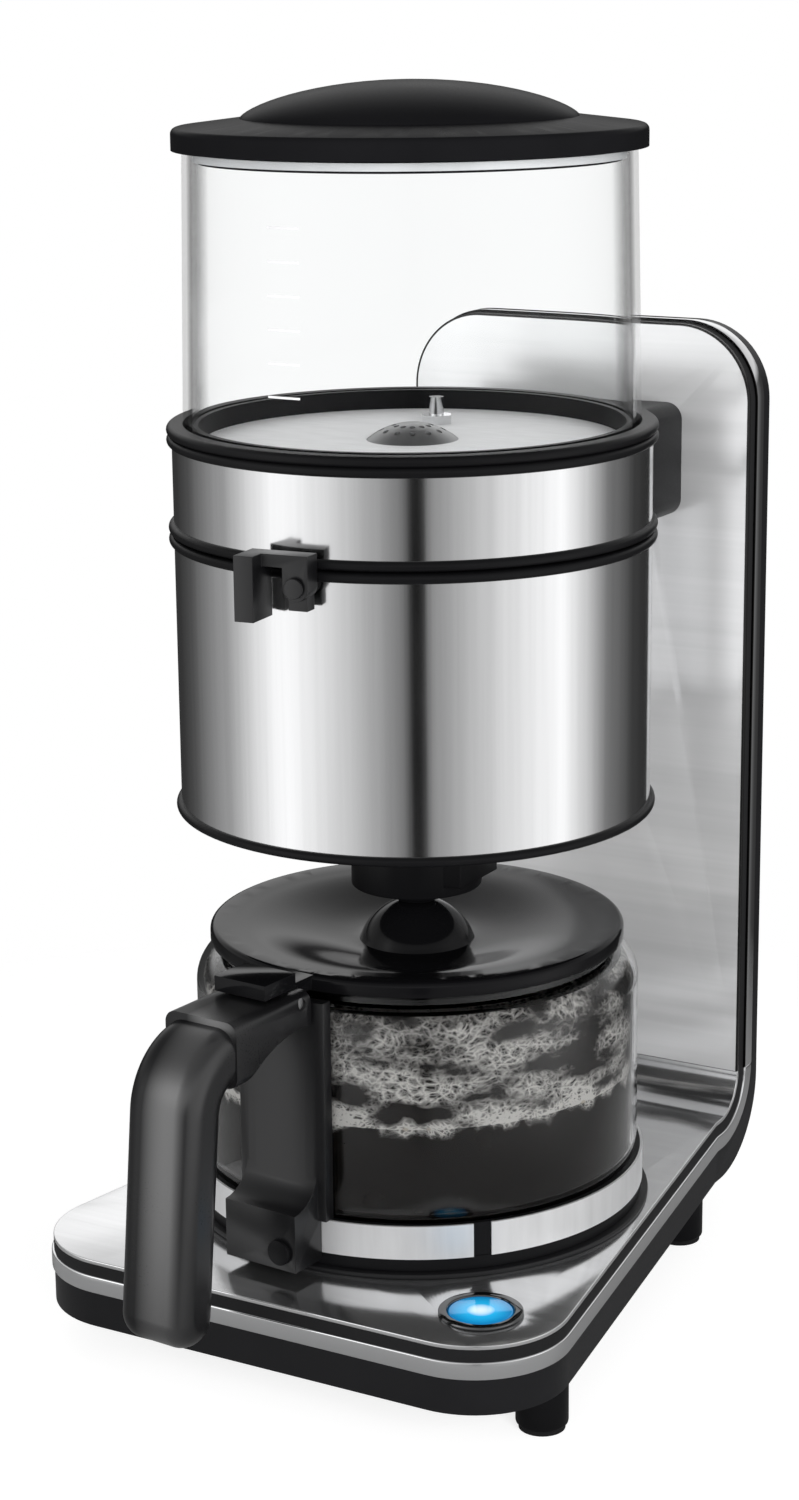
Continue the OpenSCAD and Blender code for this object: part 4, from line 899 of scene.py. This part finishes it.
class BREWER_OT_coffee(bpy.types.Operator):
    """Pours the coffee, with bubbles round its edge and froth on the glass above it"""

    bl_idname = "brewer.coffee"
    bl_label = "Coffee"

    def execute(self, context):
        sizes = context.scene.brewer_sizes
        low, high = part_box("carafe_glass")
        gap = 0.15 * MM
        inner = (high.x - low.x) / 2 - GLASS_WALL - gap
        floor = low.z + GLASS_WALL + gap
        bend = GLASS_FOOT - GLASS_WALL - gap
        level = sizes.coffee_level
        brew = brewed("black_coffee", context.scene.brewer_finishes.coffee)
        brim = inner - 0.3 * MM
        side = arc((brim - bend, floor + bend), bend, -90, 0, 14)
        # The surface ends in a small bead along the glass
        rise = [(brim, level), (brim - 0.4 * MM, level + 0.25 * MM), (brim - 1.4 * MM, level), (0.0, level)]
        add_object("coffee", spun("coffee", [(0.0, floor), *side, *rise]), brew, "carafe", "gloss_black")
        self.bubbles(sizes, inner, level)
        self.froth(sizes.froth_height, inner, level)
        return {"FINISHED"}

    def bubbles(self, sizes, inner, level):
        """A rim of bubbles on the coffee."""
        start, end, top = inner - 6 * MM, inner - 0.6 * MM, level + 0.2 * MM
        ring = spun("bubble_ring", [(start, top), (end, top)], steps=96)
        area = math.pi * (inner**2 - start**2)
        froth = clear_glass("bubble_film", (0.86, 0.8, 0.72))
        values = {"Density": sizes.bubbles / area, "Least": 0.5 * MM, "Largest": 1.7 * MM}
        mesh = grow(scatter_tree("bubble_spread", froth), ring, values)
        add_object("coffee_bubbles", mesh, froth, "carafe", "glass")

    def froth(self, height, inner, level):
        """A thin veil of froth inside the glass, from the coffee up onto the shoulder."""
        low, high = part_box("carafe_glass")
        skin, reach, cuts = 0.12 * MM, 55, 10
        bend = inner - (high.x - low.x) / 2 + GLASS_SHOULDER
        centre = (inner - bend, high.z - GLASS_NECK - GLASS_SHOULDER * math.sin(math.radians(GLASS_TURN)))
        foot = level - 5 * MM
        outside = [(inner, foot), *arc(centre, bend, 0, reach, cuts)]
        inside = [(inner - skin, foot), *arc(centre, bend - skin, 0, reach, cuts)]
        veil = [inside[0], *outside, *reversed(inside)]
        foam = frothy("coffee_froth", level, height)
        add_object("coffee_froth", spun("coffee_froth", veil, steps=192), foam, "carafe", "glass")


class BREWER_OT_stage(bpy.types.Operator):
    """Sets the floor, the soft light and the camera"""

    bl_idname = "brewer.stage"
    bl_label = "Studio"

    def execute(self, context):
        self.floor()
        self.surround(context.scene)
        self.light("left_light", LEFT_TURN, context.scene.brewer_stage.left)
        self.light("front_light", FRONT_TURN, context.scene.brewer_stage.front)
        self.camera(context.scene)
        context.scene.view_settings.view_transform = "Standard"
        return {"FINISHED"}

    def floor(self):
        """A pale floor that shows white, with the object's soft shadow, and fades out into the background."""
        mesh = bpy.data.meshes.new("floor")
        rim = 96
        turns = [2 * math.pi * i / rim for i in range(rim)]
        edge = [(FLOOR_RADIUS * math.cos(t), FLOOR_RADIUS * math.sin(t), 0) for t in turns]
        mesh.from_pydata(edge, [], [range(rim)])
        floor = bpy.data.objects.new("floor", mesh)
        bpy.context.scene.collection.objects.link(floor)
        paint = Paint("pale_floor", Specular_IOR_Level=0.0, Roughness=1.0, Emission_Strength=1.0)
        across, along, _ = paint.axes()
        away = across * across + along * along
        paint.set(
            Base_Color=colour4((0.42, 0.42, 0.42)),
            Emission_Color=paint.mix(self.straight(paint), BLACK, (0.8, 0.8, 0.8)),
            Alpha=1.0 - ((away - FLOOR_FADE) * 8.0).clamped(),
        )
        mesh.materials.append(paint.material)

    def straight(self, shader):
        """Whether the background is seen directly or straight through glass, and not in a reflection."""
        path = shader.add("ShaderNodeLightPath")
        mirrored = shader.wire(path, "Glossy Depth").above(0.5)
        through = shader.wire(path, "Is Transmission Ray") * (1.0 - mirrored)
        return (shader.wire(path, "Is Camera Ray") + through).clamped()

    def ramp(self, sky, turn, stops):
        """A grey for each turn round the object; a ramp's colours end at 1, so it holds half of each level."""
        levels = [(angle / 360 + 0.5, [level / 2] * 3) for angle, level in stops]
        half = sky.add("ShaderNodeValToRGB", {"stops": levels}, Fac=turn).outputs[0]
        return sky.add("ShaderNodeVectorMath", {"operation": "SCALE"}, Vector=half, Scale=2.0).outputs[0]

    def surround(self, scene):
        """A studio with bright walls beside the camera, a dark slot behind it and a grey ceiling."""
        world = bpy.data.worlds.new("studio")
        world.use_nodes = True
        scene.world = world
        sky = Shader(world.node_tree)
        where = sky.add("ShaderNodeTexCoord").outputs["Generated"]
        parts = sky.add("ShaderNodeSeparateXYZ", Vector=where)
        east, north, up = (sky.wire(parts, i) for i in range(3))
        turn = east.angle_from(0.0 - north) / (2 * math.pi) + 0.5
        low, high = self.ramp(sky, turn, LOW_WALLS), self.ramp(sky, turn, HIGH_WALLS)
        walls = sky.mix(((up - 0.1) * 8.0).clamped(), low, high)
        room = sky.mix(((up - 0.42) * 3.0).clamped(), walls, CEILING)
        back = sky.add("ShaderNodeBackground", Color=sky.mix(self.straight(sky), room, WHITE), Strength=1.0)
        sky.add("ShaderNodeOutputWorld", Surface=back.outputs[0])

    def light(self, name, turn, power):
        """A soft light at degrees to the right of the front; no camera, mirror or glass shows it."""
        data = bpy.data.lights.new(name, "AREA")
        data.shape = "RECTANGLE"
        data.size, data.size_y = LAMP_SIZE
        data.energy = power
        lamp = bpy.data.objects.new(name, data)
        away = math.radians(turn)
        lamp.location = (AXIS.x + LAMP_AWAY * math.sin(away), AXIS.y - LAMP_AWAY * math.cos(away), LAMP_HEIGHT)
        aim = Vector((AXIS.x, AXIS.y, LAMP_AIM)) - Vector(lamp.location)
        lamp.rotation_euler = aim.to_track_quat("-Z", "Y").to_euler()
        lamp.visible_camera = False
        lamp.visible_glossy = False
        lamp.visible_transmission = False
        bpy.context.scene.collection.objects.link(lamp)

    def camera(self, scene):
        """The photo's view."""
        data = bpy.data.cameras.new("camera")
        data.lens = scene.brewer_stage.lens
        data.sensor_width = 36.0
        data.clip_start, data.clip_end = 0.05, 50.0
        camera = bpy.data.objects.new("camera", data)
        camera.location = (AXIS.x + CAMERA_AT[0], AXIS.y + CAMERA_AT[1], CAMERA_AT[2])
        camera.rotation_euler = [math.radians(turn) for turn in CAMERA_TURN]
        scene.collection.objects.link(camera)
        scene.camera = camera


class BREWER_PT_panel(bpy.types.Panel):
    """Lists the steps and their settings"""

    bl_idname = "BREWER_PT_panel"
    bl_label = "Coffee maker"
    bl_space_type = "VIEW_3D"
    bl_region_type = "UI"
    bl_category = "Coffee maker"

    def draw(self, context):
        layout = self.layout
        for step in STEPS:
            layout.operator(step.bl_idname)
        for group in GROUPS:
            settings = getattr(context.scene, group)
            for name in settings.bl_rna.properties.keys():
                if name not in ("rna_type", "name"):
                    layout.prop(settings, name)


STEPS = (
    BREWER_OT_stand,
    BREWER_OT_button,
    BREWER_OT_head,
    BREWER_OT_filter,
    BREWER_OT_carafe,
    BREWER_OT_coffee,
    BREWER_OT_stage,
)
GROUPS = {"brewer_finishes": BrewerFinishes, "brewer_sizes": BrewerSizes, "brewer_stage": BrewerStage}


def register():
    for part in (*GROUPS.values(), *STEPS, BREWER_PT_panel):
        bpy.utils.register_class(part)
    for name, group in GROUPS.items():
        setattr(bpy.types.Scene, name, PointerProperty(type=group))


def unregister():
    for name in GROUPS:
        delattr(bpy.types.Scene, name)
    for part in reversed((*GROUPS.values(), *STEPS, BREWER_PT_panel)):
        bpy.utils.unregister_class(part)


def main():
    register()
    for step in STEPS:
        group, name = step.bl_idname.split(".")
        getattr(getattr(bpy.ops, group), name)()


if __name__ == "__main__":
    main()
